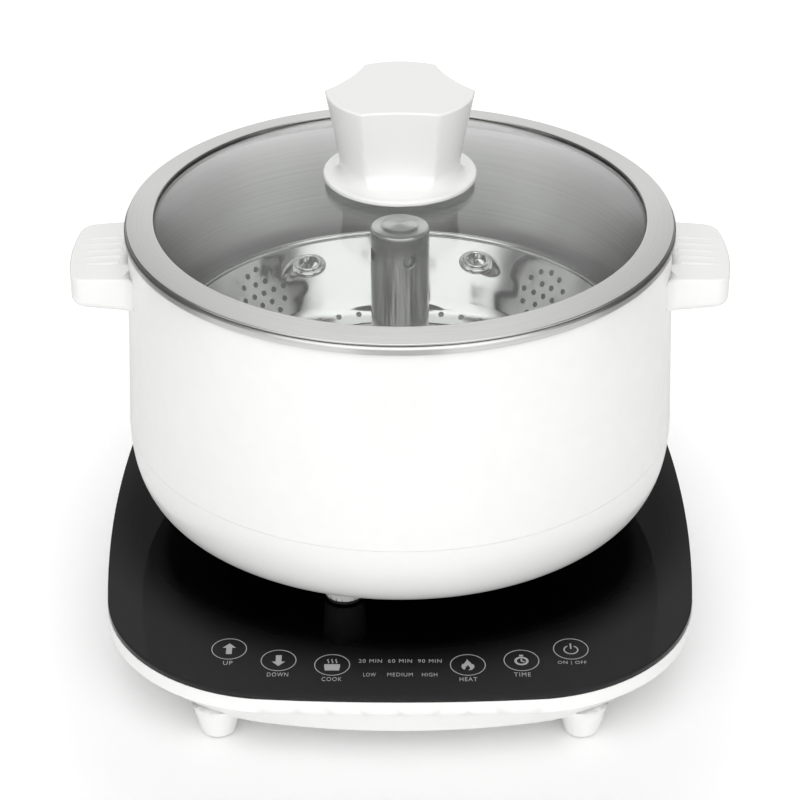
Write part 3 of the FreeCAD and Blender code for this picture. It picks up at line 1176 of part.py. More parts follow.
def dome_height(radius):
    return DOME_CENTRE_Z + math.sqrt(DOME_SPHERE ** 2 - radius ** 2)


def lid_glass():
    centre = Vec(0, POT_Y, DOME_CENTRE_Z)
    dome = Part.makeSphere(DOME_SPHERE, centre).cut(Part.makeSphere(DOME_SPHERE - DOME_THICKNESS, centre))
    dome = dome.common(disc(DOME_RADIUS, SEAL_SKIRT_BOTTOM, KNOB_TOP))
    return dome.cut(disc(KNOB_SCREW_RADIUS + KNOB_SCREW_HOLE_CLEARANCE, SEAL_SKIRT_BOTTOM, KNOB_TOP))


def lid_seal():
    """A skirt inside the pot's mouth, a lip under the glass and a flange under the rim."""
    lip_top = dome_height(DOME_RADIUS) - DOME_THICKNESS - PART_CLEARANCE
    lip_bottom = lip_top - LID_SEAL_LIP_THICKNESS
    lip_inner = DOME_RADIUS - LID_SEAL_LIP_WIDTH
    outer = LID_RADIUS - LID_SHEET - LID_SEAL_INSET
    outer_top = LID_EDGE_TOP - LID_SHEET - PART_CLEARANCE
    inner_top = outer_top + LID_SLOPE * (outer - DOME_RADIUS)
    return turned([(outer, FLANGE_TOP), (outer, outer_top), (DOME_RADIUS, inner_top),
                   (DOME_RADIUS, lip_top), (lip_inner, lip_top), (lip_inner, lip_bottom),
                   (DOME_RADIUS, lip_bottom), (DOME_RADIUS, SEAL_SKIRT_BOTTOM),
                   (SEAL_SKIRT_RADIUS, SEAL_SKIRT_BOTTOM), (SEAL_SKIRT_RADIUS, FLANGE_TOP)])


def knob_screw():
    seat = Vec(0, POT_Y, DOME_CROWN - DOME_THICKNESS - PART_CLEARANCE)
    return screw(KNOB_SCREW_HEAD_RADIUS, KNOB_SCREW_HEAD_HEIGHT, KNOB_SCREW_RADIUS,
                 KNOB_SCREW_TOP - seat.z, seat, UP)


def knob_washer():
    washer = ring(WASHER_RADIUS, KNOB_SCREW_RADIUS, dome_height(WASHER_RADIUS) - JOIN, KNOB_BASE_Z)
    return washer.cut(Part.makeSphere(DOME_SPHERE, Vec(0, POT_Y, DOME_CENTRE_Z)))


def knob_plate():
    """The plate let into the knob's underside."""
    return ring(KNOB_PLATE_RADIUS, KNOB_SCREW_RADIUS, KNOB_BASE_Z, KNOB_BASE_Z + KNOB_PLATE_THICKNESS)


def knob_flat_cutter(angle):
    """A hollow finger flat that leans outwards towards the top and flares out at its foot."""
    turn = math.radians(angle)
    outward = Vec(math.cos(turn), math.sin(turn), 0)
    axis_neck = Vec(0, POT_Y, KNOB_NECK_Z) + outward * (KNOB_FLAT_NECK_REACH + KNOB_DISH_RADIUS)
    axis_top = Vec(0, POT_Y, KNOB_TOP) + outward * (KNOB_FLAT_TOP_REACH + KNOB_DISH_RADIUS)
    along = (axis_top - axis_neck).normalize()
    disc_edge = Vec(0, POT_Y, KNOB_DISC_TOP) + outward * KNOB_DISC_RADIUS
    foot = axis_neck + along * along.dot(disc_edge - axis_neck)
    cutter = Part.makeCylinder(KNOB_DISH_RADIUS, 2 * KNOB_HEIGHT, foot, along)
    foot_edges = [edge for edge in cutter.Edges if edge.Closed and edge.CenterOfMass.isEqual(foot, NEAR)]
    return cutter.makeFillet(KNOB_FLARE_RADIUS, foot_edges)


def knob():
    body = turned([(0, KNOB_BASE_Z), (KNOB_DISC_RADIUS, KNOB_BASE_Z, KNOB_DISC_LOW_EDGE),
                   (KNOB_DISC_RADIUS, KNOB_DISC_TOP, KNOB_DISC_TOP_EDGE),
                   (KNOB_NECK_RADIUS, KNOB_DISC_TOP + KNOB_DISC_SLOPE, KNOB_FLARE_RADIUS),
                   (KNOB_MIDDLE_RADIUS, KNOB_MIDDLE_Z, KNOB_BULGE_RADIUS),
                   (KNOB_TOP_RADIUS, KNOB_TOP), (0, KNOB_TOP)])
    for angle in KNOB_FLAT_ANGLES:
        body = body.cut(knob_flat_cutter(angle))
    rim = [edge for edge in body.Edges if edge.BoundBox.ZMin > KNOB_TOP - NEAR]
    body = body.makeFillet(KNOB_EDGE_RADIUS, rim)
    return body.cut(knob_plate()).cut(knob_screw())


# --- The list of pieces --------------------------------------------------------------------------
def pieces():
    nodes = {
        "glass_panel": glass_panel(), "upper_housing": upper_housing(), "lower_housing": lower_housing(),
        "panel_gasket": panel_gasket(), "base_screws": Part.makeCompound(base_screws()),
        "cord_gland": cord_gland(), "touch_board": touch_board(), "touch_pads": touch_pads(),
        "power_board": power_board(), "power_components": power_components(),
        "gear_plate": gear_plate(), "lift_motor": lift_motor(), "coupler_hub": coupler_hub(),
        "contact_rings": contact_rings(), "rotor_and_pinion": rotor_and_pinion(),
        "output_gear": output_gear(), "drive_coupler": drive_coupler(),
        "outer_shell": outer_shell(), "bottom_cover": bottom_cover(),
        "inner_pot": inner_pot(), "rim_gasket": rim_gasket(), "pot_foot_pads": pot_foot_pads(),
        "heater_plate": heater_plate(), "heating_element": heating_element(), "thermostat": thermostat(),
        "pot_connector": pot_connector(), "connector_pins": connector_pins(), "right_handle": right_handle(),
        "left_handle": mirrored(right_handle()), "right_bracket": right_bracket(),
        "left_bracket": mirrored(right_bracket()), "handle_screws": handle_screws(),
        "chimney_tube": chimney_tube(), "screw_bearing": screw_bearing(), "lead_screw": lead_screw(),
        "lift_nut": lift_nut(), "push_tube": push_tube(), "basket_bowl": basket_bowl(),
        "basket_rim": basket_rim(), "centre_sleeve": centre_sleeve(), "sleeve_cap": sleeve_cap(),
        "sleeve_collar": sleeve_collar(), "lid_rim": lid_rim(), "lid_glass": lid_glass(),
        "lid_seal": lid_seal(), "knob": knob(), "knob_plate": knob_plate(), "knob_washer": knob_washer(),
        "knob_screw": knob_screw(),
    }
    for index, (x, y) in enumerate(foot_spots(), start=1):
        nodes[f"foot_pad_{index}"] = foot_pad(x, y)
    for index, angle in enumerate(POT_FOOT_ANGLES, start=1):
        nodes[f"pot_foot_{index}"] = pot_foot(angle)
    for index, angle in enumerate(EYELET_ANGLES, start=1):
        nodes[f"eyelet_{index}"] = eyelet(angle)
    return nodes


os.makedirs("parts", exist_ok=True)
for name, shape in pieces().items():
    shape.exportStep(f"parts/{name}.step")
    print(f"{name}: {len(shape.Solids)} solid(s), {shape.Volume:.0f} mm3, valid {shape.isValid()}")
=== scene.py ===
import bmesh
import bpy
import json
import math
from mathutils import Matrix, Vector
from mathutils.kdtree import KDTree


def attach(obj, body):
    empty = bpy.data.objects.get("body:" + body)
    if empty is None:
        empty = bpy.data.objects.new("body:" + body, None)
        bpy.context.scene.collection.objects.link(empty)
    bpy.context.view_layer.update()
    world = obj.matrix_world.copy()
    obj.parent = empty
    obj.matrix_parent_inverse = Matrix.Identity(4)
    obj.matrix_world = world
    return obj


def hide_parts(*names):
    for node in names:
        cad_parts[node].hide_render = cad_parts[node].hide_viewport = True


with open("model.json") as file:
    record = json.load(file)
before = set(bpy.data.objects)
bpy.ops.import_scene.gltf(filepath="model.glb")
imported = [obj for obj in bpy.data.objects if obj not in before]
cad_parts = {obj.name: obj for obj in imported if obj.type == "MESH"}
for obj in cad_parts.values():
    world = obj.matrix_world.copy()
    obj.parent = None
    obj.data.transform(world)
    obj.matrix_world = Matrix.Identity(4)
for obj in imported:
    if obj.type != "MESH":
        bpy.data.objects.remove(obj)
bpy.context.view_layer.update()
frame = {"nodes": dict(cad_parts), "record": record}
scene = bpy.context.scene
scene.view_settings.view_transform = "Standard"

# --- Sizes, in millimetres ---------------------------------------------------------------
MM = 0.001
POT_Y = 6.5
GLASS_TOP = 42.0
PANEL_FRONT = -171.0
# The black glass is painted darkest out to one radius, as painted shade under the pot, and charcoal beyond
# the other, as a painted reflection of the room, in an oval.
POT_SHADE_RADIUS, ROOM_REFLECTION_RADIUS, SHADE_OVAL_SQUEEZE = 130.0, 165.0, 0.95
# Where the base's feet are, and their radius at the top.
FOOT_X, FOOT_Y, FOOT_RADIUS = 91.4, 141.5, 13.6

POT_BOTTOM, POT_SEAM, SHELL_TOP = 66.0, 104.1, 210.9
SEAM_RADIUS, SHELL_RADIUS, SHELL_WALL, SHELL_LIP = 143.9, 139.4, 2.2, 133.8
COVER_FLAT, COVER_FULLNESS, COVER_WALL = 125.0, 2.25, 2.4
# The cover's tongue stands inside the shell's wall, this much below and above the seam.
SEAM_GAP, TONGUE_CLEARANCE, TONGUE_WALL, TONGUE_LOW, TONGUE_HIGH = 0.1, 0.3, 2.0, 6.0, 3.8
CONNECTOR_HOLE = 34.3
VESSEL_RADIUS, VESSEL_FLOOR, VESSEL_SHEET, VESSEL_CORNER = 132.0, 92.2, 0.8, 20.0
FLANGE_RADIUS, FLANGE_TOP, FLANGE_HEM = 141.2, 215.3, 211.3
CHIMNEY_RADIUS = 12.3

SLEEVE_RADIUS = 15.1
BASKET_RIM, BASKET_RIM_Z, BASKET_FLOOR = 119.9, 146.8, 102.0
BASKET_SLOPE, BASKET_SHEET, BASKET_CORNER, BEAD_RADIUS = 0.5, 0.8, 22.0, 1.9
BASKET_SLANT = math.hypot(1, BASKET_SLOPE)
# The corner's rounding takes this much of the flat floor.
CORNER_RUN = 13.6
# Each eyelet's angle round the basket and its radius, and the height of them all.
EYELETS, EYELET_Z = ((66.5, 106.79), (118.5, 106.70), (-66.5, 106.79), (-118.5, 106.70)), 139.0
# An eyelet's hole, its flange's edge and half thickness, and its collar, which flares at its foot.
EYELET_BORE, EYELET_EDGE, EYELET_HALF = 5.2, 9.4, 1.6
EYELET_COLLAR, EYELET_TOP, COLLAR_FLARE, COLLAR_SINK = 7.2, 2.9, 0.2, 0.1
# How far an eyelet leans sideways and towards the basket's middle, as slopes.
EYELET_LEAN_X, EYELET_LEAN_Y = 0.08, 0.24
HOLE_RADIUS, CUTTER_LENGTH = 1.65, 5.0
GROUP_ANGLES, GROUP_Z = (43.6, 133.6, 223.6, 313.6), 128.5
# Each ring of holes in a group: how many, and its radius.
GROUP_RINGS = ((1, 0.0), (6, 7.0), (12, 13.9))
CORNER_HOLES, CORNER_HOLE_RADIUS = 52, 98.0

LID_RADIUS, LID_INNER, LID_HEM = 140.2, 126.2, 1.0
# Heights of the lid's rim: its lower edge, its outer and inner shoulders, and its inner fold.
LID_LOW, LID_SHOULDER, LID_CROWN, LID_FOLD = 215.7, 216.75, 219.0, 217.7
# What shows of the sheet's edge at the inner fold and inside the lower edge.
FOLD_EDGE, LOWER_EDGE = 0.25, 0.17
DOME_RADIUS, DOME_EDGE_Z, DOME_RISE, DOME_THICKNESS = 128.5, 217.5, 20.6, 4.0
DOME_HOLE = 4.3

# Where each key is: across from the middle, and in from the front edge of the glass.
KEY_SPOTS = ((-85.4, 39.8), (-60.3, 30.1), (-33.6, 26.3), (33.6, 26.3), (60.3, 30.1), (85.4, 39.8))
KEY_RADIUS, KEY_LINE, STEAM_SWAY = 8.86, 0.42, 0.32
# Heights of the capitals under the keys and between them.
KEY_CAPITALS, SMALL_CAPITALS = 3.2, 2.9
PRINT_LOW, PRINT_HIGH = -0.01, 0.05

# --- Fineness of the meshes -----------------------------------------------------------------
SEGMENTS, RING_SEGMENTS, DRILL_SEGMENTS, BEAD_STEPS = 192, 64, 14, 16
COVER_STEPS, DOME_STEPS, WAVE_STEPS = 24, 30, 8
# Lettering is drawn at a size of 1 and then fitted: how fine its curves are, its thickness there,
# how much its strokes are thinned, and how far its capitals stand apart, as on a screen print.
LETTER_STEPS, LETTER_DEPTH, LETTER_THINNING, LETTER_SPACING = 3, 0.5, -0.006, 1.15
ARC_STEP = math.radians(9)
SHARP = math.radians(32)
LONGEST_FACET, HALVINGS = 9.0, 5
# Skin that slopes inwards, by its normal's Z, and how near two normals are on the same bend.
SKIN_LOW, SKIN_HIGH, SAME_BEND = -0.95, -0.08, 0.85
BESIDE_FEET_REACH, FEET_REACH = 16.0, 5.0

# --- Finishes --------------------------------------------------------------------------------
# Nearly all of a noise pattern lies between these two values.
NOISE_LOW, NOISE_HIGH = 0.3, 0.7
# The clear glass has a haze where its noise is above a value, up to a roughness.
HAZE_START, HAZE_FULL, HAZE_ROUGHNESS = 0.4, 0.8, 0.02

# --- Studio, in metres and plain strengths ---------------------------------------------------
UPPER_SIDE_TONE, UPPER_FRONT_TONE, CEILING_TONE = 0.15, 1.6, 1.05
# The floor's camera-only glow, dimmed round the object as a painted shadow: how far out it starts to rise and
# is full, its two strengths, and its oval.
SHADOW_FADE_START, SHADOW_FADE_END, GLOW_IN_PAINTED_SHADOW, GLOW_OUTSIDE_PAINTED_SHADOW = 0.2, 0.34, 0.09, 0.29
SHADOW_OVAL_STRETCH, SHADOW_OVAL_SHIFT = 1.3, 0.06
CAMERA_LENS, CAMERA_SENSOR = 111.34, 36
CAMERA_TARGET, CAMERA_LIFT, CAMERA_DISTANCE = (0, 0.0065, 0.10634), math.radians(29.93), 1.3243


# --- Node and mesh helpers ----------------------------------------------------------------
def linear(code):
    """An sRGB hex colour as linear RGBA."""
    parts = [int(code[i:i + 2], 16) / 255 for i in (1, 3, 5)]
    return [c / 12.92 if c <= 0.04045 else ((c + 0.055) / 1.055) ** 2.4 for c in parts] + [1.0]


def add(tree, kind, inputs=None, **settings):
    """Adds a node; inputs maps a socket's name or number to a value or another node's output."""
    made = tree.nodes.new(kind)
    for key, value in settings.items():
        setattr(made, key, value)
    for key, value in (inputs or {}).items():
        if isinstance(value, bpy.types.NodeSocket):
            tree.links.new(value, made.inputs[key])
        else:
            made.inputs[key].default_value = value
    return made


def rounded(points):
    """An outline of (radius, height) points; a third value rounds that corner."""
    line = []
    for index, point in enumerate(points):
        corner = Vector(point[:2])
        if len(point) == 2:
            line.append(corner)
            continue
        back = (Vector(points[index - 1][:2]) - corner).normalized()
        ahead = (Vector(points[(index + 1) % len(points)][:2]) - corner).normalized()
        half = back.angle(ahead) / 2
        middle = corner + (back + ahead).normalized() * (point[2] / math.sin(half))
        start = corner + back * (point[2] / math.tan(half)) - middle
        stop = corner + ahead * (point[2] / math.tan(half)) - middle
        sweep = math.copysign(math.pi - 2 * half, start.x * stop.y - start.y * stop.x)
        steps = max(2, round(abs(sweep) / ARC_STEP))
        line += [middle + Matrix.Rotation(sweep * step / steps, 2) @ start for step in range(steps + 1)]
    return line


def lathe(name, outline, centre=(0.0, POT_Y), segments=SEGMENTS):
    """A closed mesh turned about an upright axis from a closed outline in millimetres."""
    bm = bmesh.new()
    rings = []
    for radius, height in outline:
        count = segments if radius > 0.0 else 1
        ring = []
        for step in range(count):
            turn = math.tau * step / count
            ring.append(bm.verts.new(Vector((centre[0] + radius * math.cos(turn),
                                             centre[1] + radius * math.sin(turn), height)) * MM))
        rings.append(ring)
    for index, ring in enumerate(rings):
        last = rings[index - 1]
        for step in range(segments if len(ring) + len(last) > 2 else 0):
            corners = []
            for vert in (last[step % len(last)], last[(step + 1) % len(last)],
                         ring[(step + 1) % len(ring)], ring[step % len(ring)]):
                if vert not in corners:
                    corners.append(vert)
            bm.faces.new(corners)
    bmesh.ops.recalc_face_normals(bm, faces=bm.faces)
    mesh = bpy.data.meshes.new(name)
    bm.to_mesh(mesh)
    bm.free()
    return mesh


def place(name, mesh, material, body, slot, *nodes, smooth=True):
    """Makes a mesh a piece of the object that rides on a body and may stand for CAD nodes."""
    if smooth:
        mesh.shade_smooth()
        mesh.set_sharp_from_angle(angle=SHARP)
    mesh.materials.clear()
    mesh.materials.append(material)
    piece = bpy.data.objects.new(name, mesh)
    scene.collection.objects.link(piece)
    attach(piece, body)
    if nodes:
        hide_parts(*nodes)
    return piece


def turned(name, points, material, body, slot, *nodes):
    """A piece turned from an outline whose corners may be rounded."""
    return place(name, lathe(name, rounded(points)), material, body, slot, *nodes)


def evaluated(obj):
    """The plain mesh that an object's modifiers make; the object is then removed."""
    bpy.context.view_layer.update()
    graph = bpy.context.evaluated_depsgraph_get()
    mesh = bpy.data.meshes.new_from_object(obj.evaluated_get(graph), depsgraph=graph)
    bpy.data.objects.remove(obj)
    return mesh


def mesh_of(data):
    """The plain mesh of a curve or a line of text."""
    holder = bpy.data.objects.new("holder", data)
    scene.collection.objects.link(holder)
    return evaluated(holder)


def refined(name, node, material, body, slot):
    """A CAD node's form with its long facets split, and normals that keep its flats flat."""
    bm = bmesh.new()
    bm.from_mesh(frame["nodes"][node].data)
    bmesh.ops.remove_doubles(bm, verts=bm.verts, dist=2e-6)
    bmesh.ops.dissolve_degenerate(bm, edges=bm.edges, dist=1e-6)
    for _ in range(HALVINGS):
        spans = [edge for edge in bm.edges if edge.calc_length() > LONGEST_FACET * MM]
        bmesh.ops.subdivide_edges(bm, edges=spans, cuts=1)
        bmesh.ops.triangulate(bm, faces=bm.faces)
    mesh = bpy.data.meshes.new(name)
    bm.to_mesh(mesh)
    bm.free()
    mesh.shade_smooth()
    mesh.set_sharp_from_angle(angle=SHARP)
    helper = bpy.data.objects.new("helper", mesh)
    scene.collection.objects.link(helper)
    weighted = helper.modifiers.new("flats", "WEIGHTED_NORMAL")
    weighted.keep_sharp = True
    return place(name, evaluated(helper), material, body, slot, node, smooth=False)


def at_foot(face):
    """Whether a face of the lower case is on one of its four feet."""
    spot = (abs(face.center.x), abs(face.center.y))
    return math.dist(spot, (FOOT_X * MM, FOOT_Y * MM)) < FOOT_RADIUS * MM


def softened(piece, feet, reach):
    """Evens out the shading of the skin that slopes inwards, on the feet or beside them.

    Each normal becomes the mean of those within reach that are on the same bend.
    """
    mesh = piece.data
    skin = [face for face in mesh.polygons if SKIN_LOW < face.normal.z < SKIN_HIGH and at_foot(face) == feet]
    near_faces = KDTree(len(skin))
    for index, face in enumerate(skin):
        near_faces.insert(face.center, index)
    near_faces.balance()
    corners = [corner.vector.copy() for corner in mesh.corner_normals]
    for face in skin:
        for loop in face.loop_indices:
            spot = mesh.vertices[mesh.loops[loop].vertex_index].co
            total = face.normal * face.area
            for _, index, _ in near_faces.find_range(spot, reach * MM):
                other = skin[index]
                if other.normal.dot(face.normal) > SAME_BEND:
                    total = total + other.normal * other.area
            corners[loop] = total.normalized()
    mesh.normals_split_custom_set(corners)


# --- Materials ------------------------------------------------------------------------------
def about_pot_axis(tree, squeeze):
    """A place seen from the pot's axis, the same laid flat with X squeezed, and its radius."""
    spot = add(tree, "ShaderNodeTexCoord").outputs["Object"]
    centred = add(tree, "ShaderNodeMapping", {"Vector": spot, "Location": (0.0, -POT_Y * MM, 0.0)}).outputs[0]
    flat = add(tree, "ShaderNodeMapping", {"Vector": centred, "Scale": (squeeze, 1.0, 0.0)}).outputs[0]
    radius = add(tree, "ShaderNodeVectorMath", {0: flat}, operation="LENGTH").outputs["Value"]
    return centred, flat, radius


def lathe_lines(tree, along, across):
    """Coordinates for lines left by turning: long around the pot's axis, fine across it."""
    centred, flat, radius = about_pot_axis(tree, 1.0)
    round_unit = add(tree, "ShaderNodeVectorMath", {0: flat}, operation="NORMALIZE")
    height = add(tree, "ShaderNodeSeparateXYZ", {0: centred}).outputs["Z"]
    run = add(tree, "ShaderNodeMath", {0: radius, 1: height}, operation="ADD").outputs[0]
    fine = add(tree, "ShaderNodeMath", {0: run, 1: 1 / (across * MM)}, operation="MULTIPLY").outputs[0]
    lift = add(tree, "ShaderNodeCombineXYZ", {"Z": fine}).outputs[0]
    return add(tree, "ShaderNodeVectorMath", {0: round_unit.outputs[0], 1: (along, along, along), 2: lift},
               operation="MULTIPLY_ADD").outputs[0]


def finish(name, tones, rough, grain, depth, metal=0.0, lines=None, detail=3.0, **sockets):
    """A procedural finish: two tones, a span of roughness and a relief, all from one grain.

    grain is the pattern's size and depth its relief, both in millimetres; lines gives how
    long turning marks run around the pot's axis, and makes grain their spacing.
    """
    made = bpy.data.materials.new(name)
    made.use_nodes = True
    tree = made.node_tree
    shader = tree.nodes["Principled BSDF"]
    if lines:
        vector, scale = lathe_lines(tree, lines, grain), 1.0
    else:
        vector, scale = add(tree, "ShaderNodeTexCoord").outputs["Object"], 1 / (grain * MM)
    noise = add(tree, "ShaderNodeTexNoise", {"Vector": vector, "Scale": scale, "Detail": detail})
    fac = noise.outputs["Fac"]
    colour = add(tree, "ShaderNodeMix", {"Factor": fac, 6: linear(tones[0]), 7: linear(tones[1])},
                 data_type="RGBA")
    spread = add(tree, "ShaderNodeMapRange", {"Value": fac, "From Min": NOISE_LOW, "From Max": NOISE_HIGH,
                                              "To Min": rough[0], "To Max": rough[1]})
    relief = add(tree, "ShaderNodeBump", {"Height": fac, "Distance": depth * MM, "Strength": 1.0})
    tree.links.new(colour.outputs[2], shader.inputs["Base Color"])
    tree.links.new(spread.outputs["Result"], shader.inputs["Roughness"])
    tree.links.new(relief.outputs["Normal"], shader.inputs["Normal"])
    shader.inputs["Metallic"].default_value = metal
    for key, value in sockets.items():
        shader.inputs[key.replace("_", " ")].default_value = value
    if "Anisotropic" in sockets:
        # The marks run round the upright axis, so the highlights stretch across them.
        tangent = add(tree, "ShaderNodeTangent", direction_type="RADIAL", axis="Z")
        tree.links.new(tangent.outputs[0], shader.inputs["Tangent"])
        shader.inputs["Anisotropic Rotation"].default_value = 0.25
    return made


# White ABS, moulded: a polished tool leaves a faint orange peel, which softens its highlights.
abs_white = finish("white_moulded_abs", ("#f6f6f4", "#f9f9f8"), (0.23, 0.265), 2.2, 0.0015)
# White stove enamel on steel: glossier and smoother than the mouldings, with the slight
# waviness of a baked coat.
enamel = finish("white_baked_enamel", ("#f6f6f5", "#fafaf9"), (0.21, 0.24), 9.0, 0.004, detail=1.5)
# Brushed 18/10 stainless steel, turned: fine lines around the axis spread its highlights
# across them. Real lines are about 0.1 mm apart; they are drawn 0.5 mm apart so they show.
brushed = finish("brushed_stainless_steel", ("#c6c6c4", "#dcdcda"), (0.29, 0.36), 0.5, 0.006, 1.0,
                 lines=2.5, Anisotropic=0.75)
# The pot's inside wears the same brushing, with broader bands where the wheel paused.
vessel_steel = finish("turned_vessel_steel", ("#c8c8c6", "#f4f4f2"), (0.34, 0.40), 0.9, 0.008, 1.0,
                      lines=1.6, Anisotropic=0.8)
# Mirror-polished stainless steel: drawn sheet keeps a long soft ripple that bends reflections.
polished = finish("polished_stainless_steel", ("#c8c8c6", "#d2d2d0"), (0.05, 0.09), 30.0, 1.5, 1.0,
                  detail=1.0)
# Satin stainless tube: drawn and linished, softer than the basket.
satin = finish("satin_stainless_tube", ("#c2c2c0", "#c8c8c6"), (0.12, 0.16), 0.6, 0.001, 1.0,
               lines=1.0, Anisotropic=0.5)
# Zinc-plated and ground steel, for the drive and the other small steel parts.
plated = finish("zinc_plated_steel", ("#b4b6b8", "#c8cacc"), (0.29, 0.4), 3.0, 0.01, 1.0)
# Rubber and silicone: matt, with the fine tooth of the mould.
rubber = finish("black_rubber", ("#1d1d1d", "#242424"), (0.6, 0.75), 0.6, 0.02)
seal_silicone = finish("dark_silicone_seal", ("#2e2e2e", "#383838"), (0.42, 0.55), 0.8, 0.01)
pale_silicone = finish("pale_silicone", ("#cfcfca", "#d8d8d4"), (0.45, 0.55), 1.0, 0.01)
# Black glass-filled nylon: moulded, with a light sparkle of texture.
black_nylon = finish("black_moulded_nylon", ("#141415", "#1b1b1c"), (0.4, 0.55), 0.7, 0.02)
# Natural acetal: waxy cream gear plastic.
acetal = finish("natural_acetal", ("#dcd8cb", "#e4e0d4"), (0.32, 0.42), 1.5, 0.01)
# Solder-masked glass-epoxy board: the weave under the green gives it a faint mottle.
board = finish("solder_masked_board", ("#1c5a33", "#24683c"), (0.3, 0.4), 0.8, 0.01)
# Dark phenolic component cases.
phenolic = finish("phenolic_component_cases", ("#23252b", "#2b2e35"), (0.45, 0.6), 0.9, 0.02)
# Bright brass contacts, lightly dulled by use.
brass = finish("bright_brass", ("#c9a650", "#d8b868"), (0.29, 0.36), 2.0, 0.006, 1.0)
# Sand-cast aluminium plate: grainy and dull.
cast = finish("cast_aluminium", ("#a6a8aa", "#bcbec0"), (0.5, 0.65), 0.8, 0.05, 1.0)
# Grey ceramic ink, screen-printed: flat, with a trace of the mesh in its density.
ink = finish("grey_ceramic_ink", ("#a9a9a9", "#b6b6b6"), (0.45, 0.55), 0.5, 0.002)


def black_glass_material():
    """Back-printed toughened glass: a deep black print under a polished face.

    Its tone is painted: darkest close to the pot's axis, as painted shade under the pot, and charcoal further
    out, as a painted reflection of the room.
    The face mirrors less than bare glass does, so that the print stays black.
    """
    made = bpy.data.materials.new("back_printed_black_glass")
    made.use_nodes = True
    tree = made.node_tree
    shader = tree.nodes["Principled BSDF"]
    _, _, radius = about_pot_axis(tree, SHADE_OVAL_SQUEEZE)
    # Painted shade under the pot, grading out to a painted reflection of the room.
    reach = add(tree, "ShaderNodeMapRange", {"Value": radius, "From Min": POT_SHADE_RADIUS * MM,
                                             "From Max": ROOM_REFLECTION_RADIUS * MM},
                interpolation_type="SMOOTHSTEP").outputs["Result"]
    spot = add(tree, "ShaderNodeTexCoord").outputs["Object"]
    fleck = add(tree, "ShaderNodeTexNoise", {"Vector": spot, "Scale": 1 / (1.2 * MM), "Detail": 2.0})
    painted_light_tone = add(tree, "ShaderNodeMix", {"Factor": reach, 6: linear("#010101"), 7: linear("#2c2c2d")},
               data_type="RGBA").outputs[2]
    polish = add(tree, "ShaderNodeMapRange", {"Value": fleck.outputs["Fac"], "From Min": NOISE_LOW,
                                              "From Max": NOISE_HIGH, "To Min": 0.03, "To Max": 0.06})
    tree.links.new(painted_light_tone, shader.inputs["Base Color"])
    tree.links.new(polish.outputs["Result"], shader.inputs["Roughness"])
    shader.inputs["Specular IOR Level"].default_value = 0.05
    return made


def clear_glass_material():
    """Clear toughened soda-lime glass, faintly hazed, which lets the lamp through."""
    made = bpy.data.materials.new("clear_toughened_glass")
    made.use_nodes = True
    tree = made.node_tree
    shader = tree.nodes["Principled BSDF"]
    spot = add(tree, "ShaderNodeTexCoord").outputs["Object"]
    smear = add(tree, "ShaderNodeTexNoise", {"Vector": spot, "Scale": 1 / (30 * MM), "Detail": 2.0})
    haze = add(tree, "ShaderNodeMapRange", {"Value": smear.outputs["Fac"], "From Min": HAZE_START,
                                            "From Max": HAZE_FULL, "To Min": 0.0, "To Max": HAZE_ROUGHNESS})
    tree.links.new(haze.outputs["Result"], shader.inputs["Roughness"])
    shader.inputs["Base Color"].default_value = linear("#fbfdfc")
    shader.inputs["Transmission Weight"].default_value = 1.0
    shader.inputs["IOR"].default_value = 1.5
    see_through = add(tree, "ShaderNodeBsdfTransparent")
    lamp_ray = add(tree, "ShaderNodeLightPath").outputs["Is Shadow Ray"]
    mixed = add(tree, "ShaderNodeMixShader", {0: lamp_ray, 1: shader.outputs[0], 2: see_through.outputs[0]})
    tree.links.new(mixed.outputs[0], tree.nodes["Material Output"].inputs["Surface"])
    return made


black_glass = black_glass_material()
clear_glass = clear_glass_material()

# Every CAD node that stays gets the finish of its own material.
FINISHES = {
    "black_glass": black_glass, "white_gloss_plastic": abs_white, "white_enamel": enamel,
    "brushed_steel": brushed, "polished_steel": plated, "clear_glass": clear_glass,
    "dark_rubber": rubber, "pale_silicone": pale_silicone,
    "black_plastic": black_nylon, "natural_nylon": acetal, "circuit_board": board,
    "component_plastic": phenolic, "brass": brass, "cast_aluminium": cast, "motor_steel": plated,
}
for entry in frame["record"]["subparts"]:
    shown = frame["nodes"][entry["node"]]
    shown.data.materials.clear()
    shown.data.materials.append(FINISHES[entry["material_slot"]])


# --- The base -------------------------------------------------------------------------------
refined("glass_top", "glass_panel", black_glass, "base", "black_glass")
refined("upper_case", "upper_housing", abs_white, "base", "white_gloss_plastic")
lower_case = refined("lower_case", "lower_housing", abs_white, "base", "white_gloss_plastic")
# Its long slope and its four small feet are evened apart, each over its own distance.
softened(lower_case, False, BESIDE_FEET_REACH)
softened(lower_case, True, FEET_REACH)


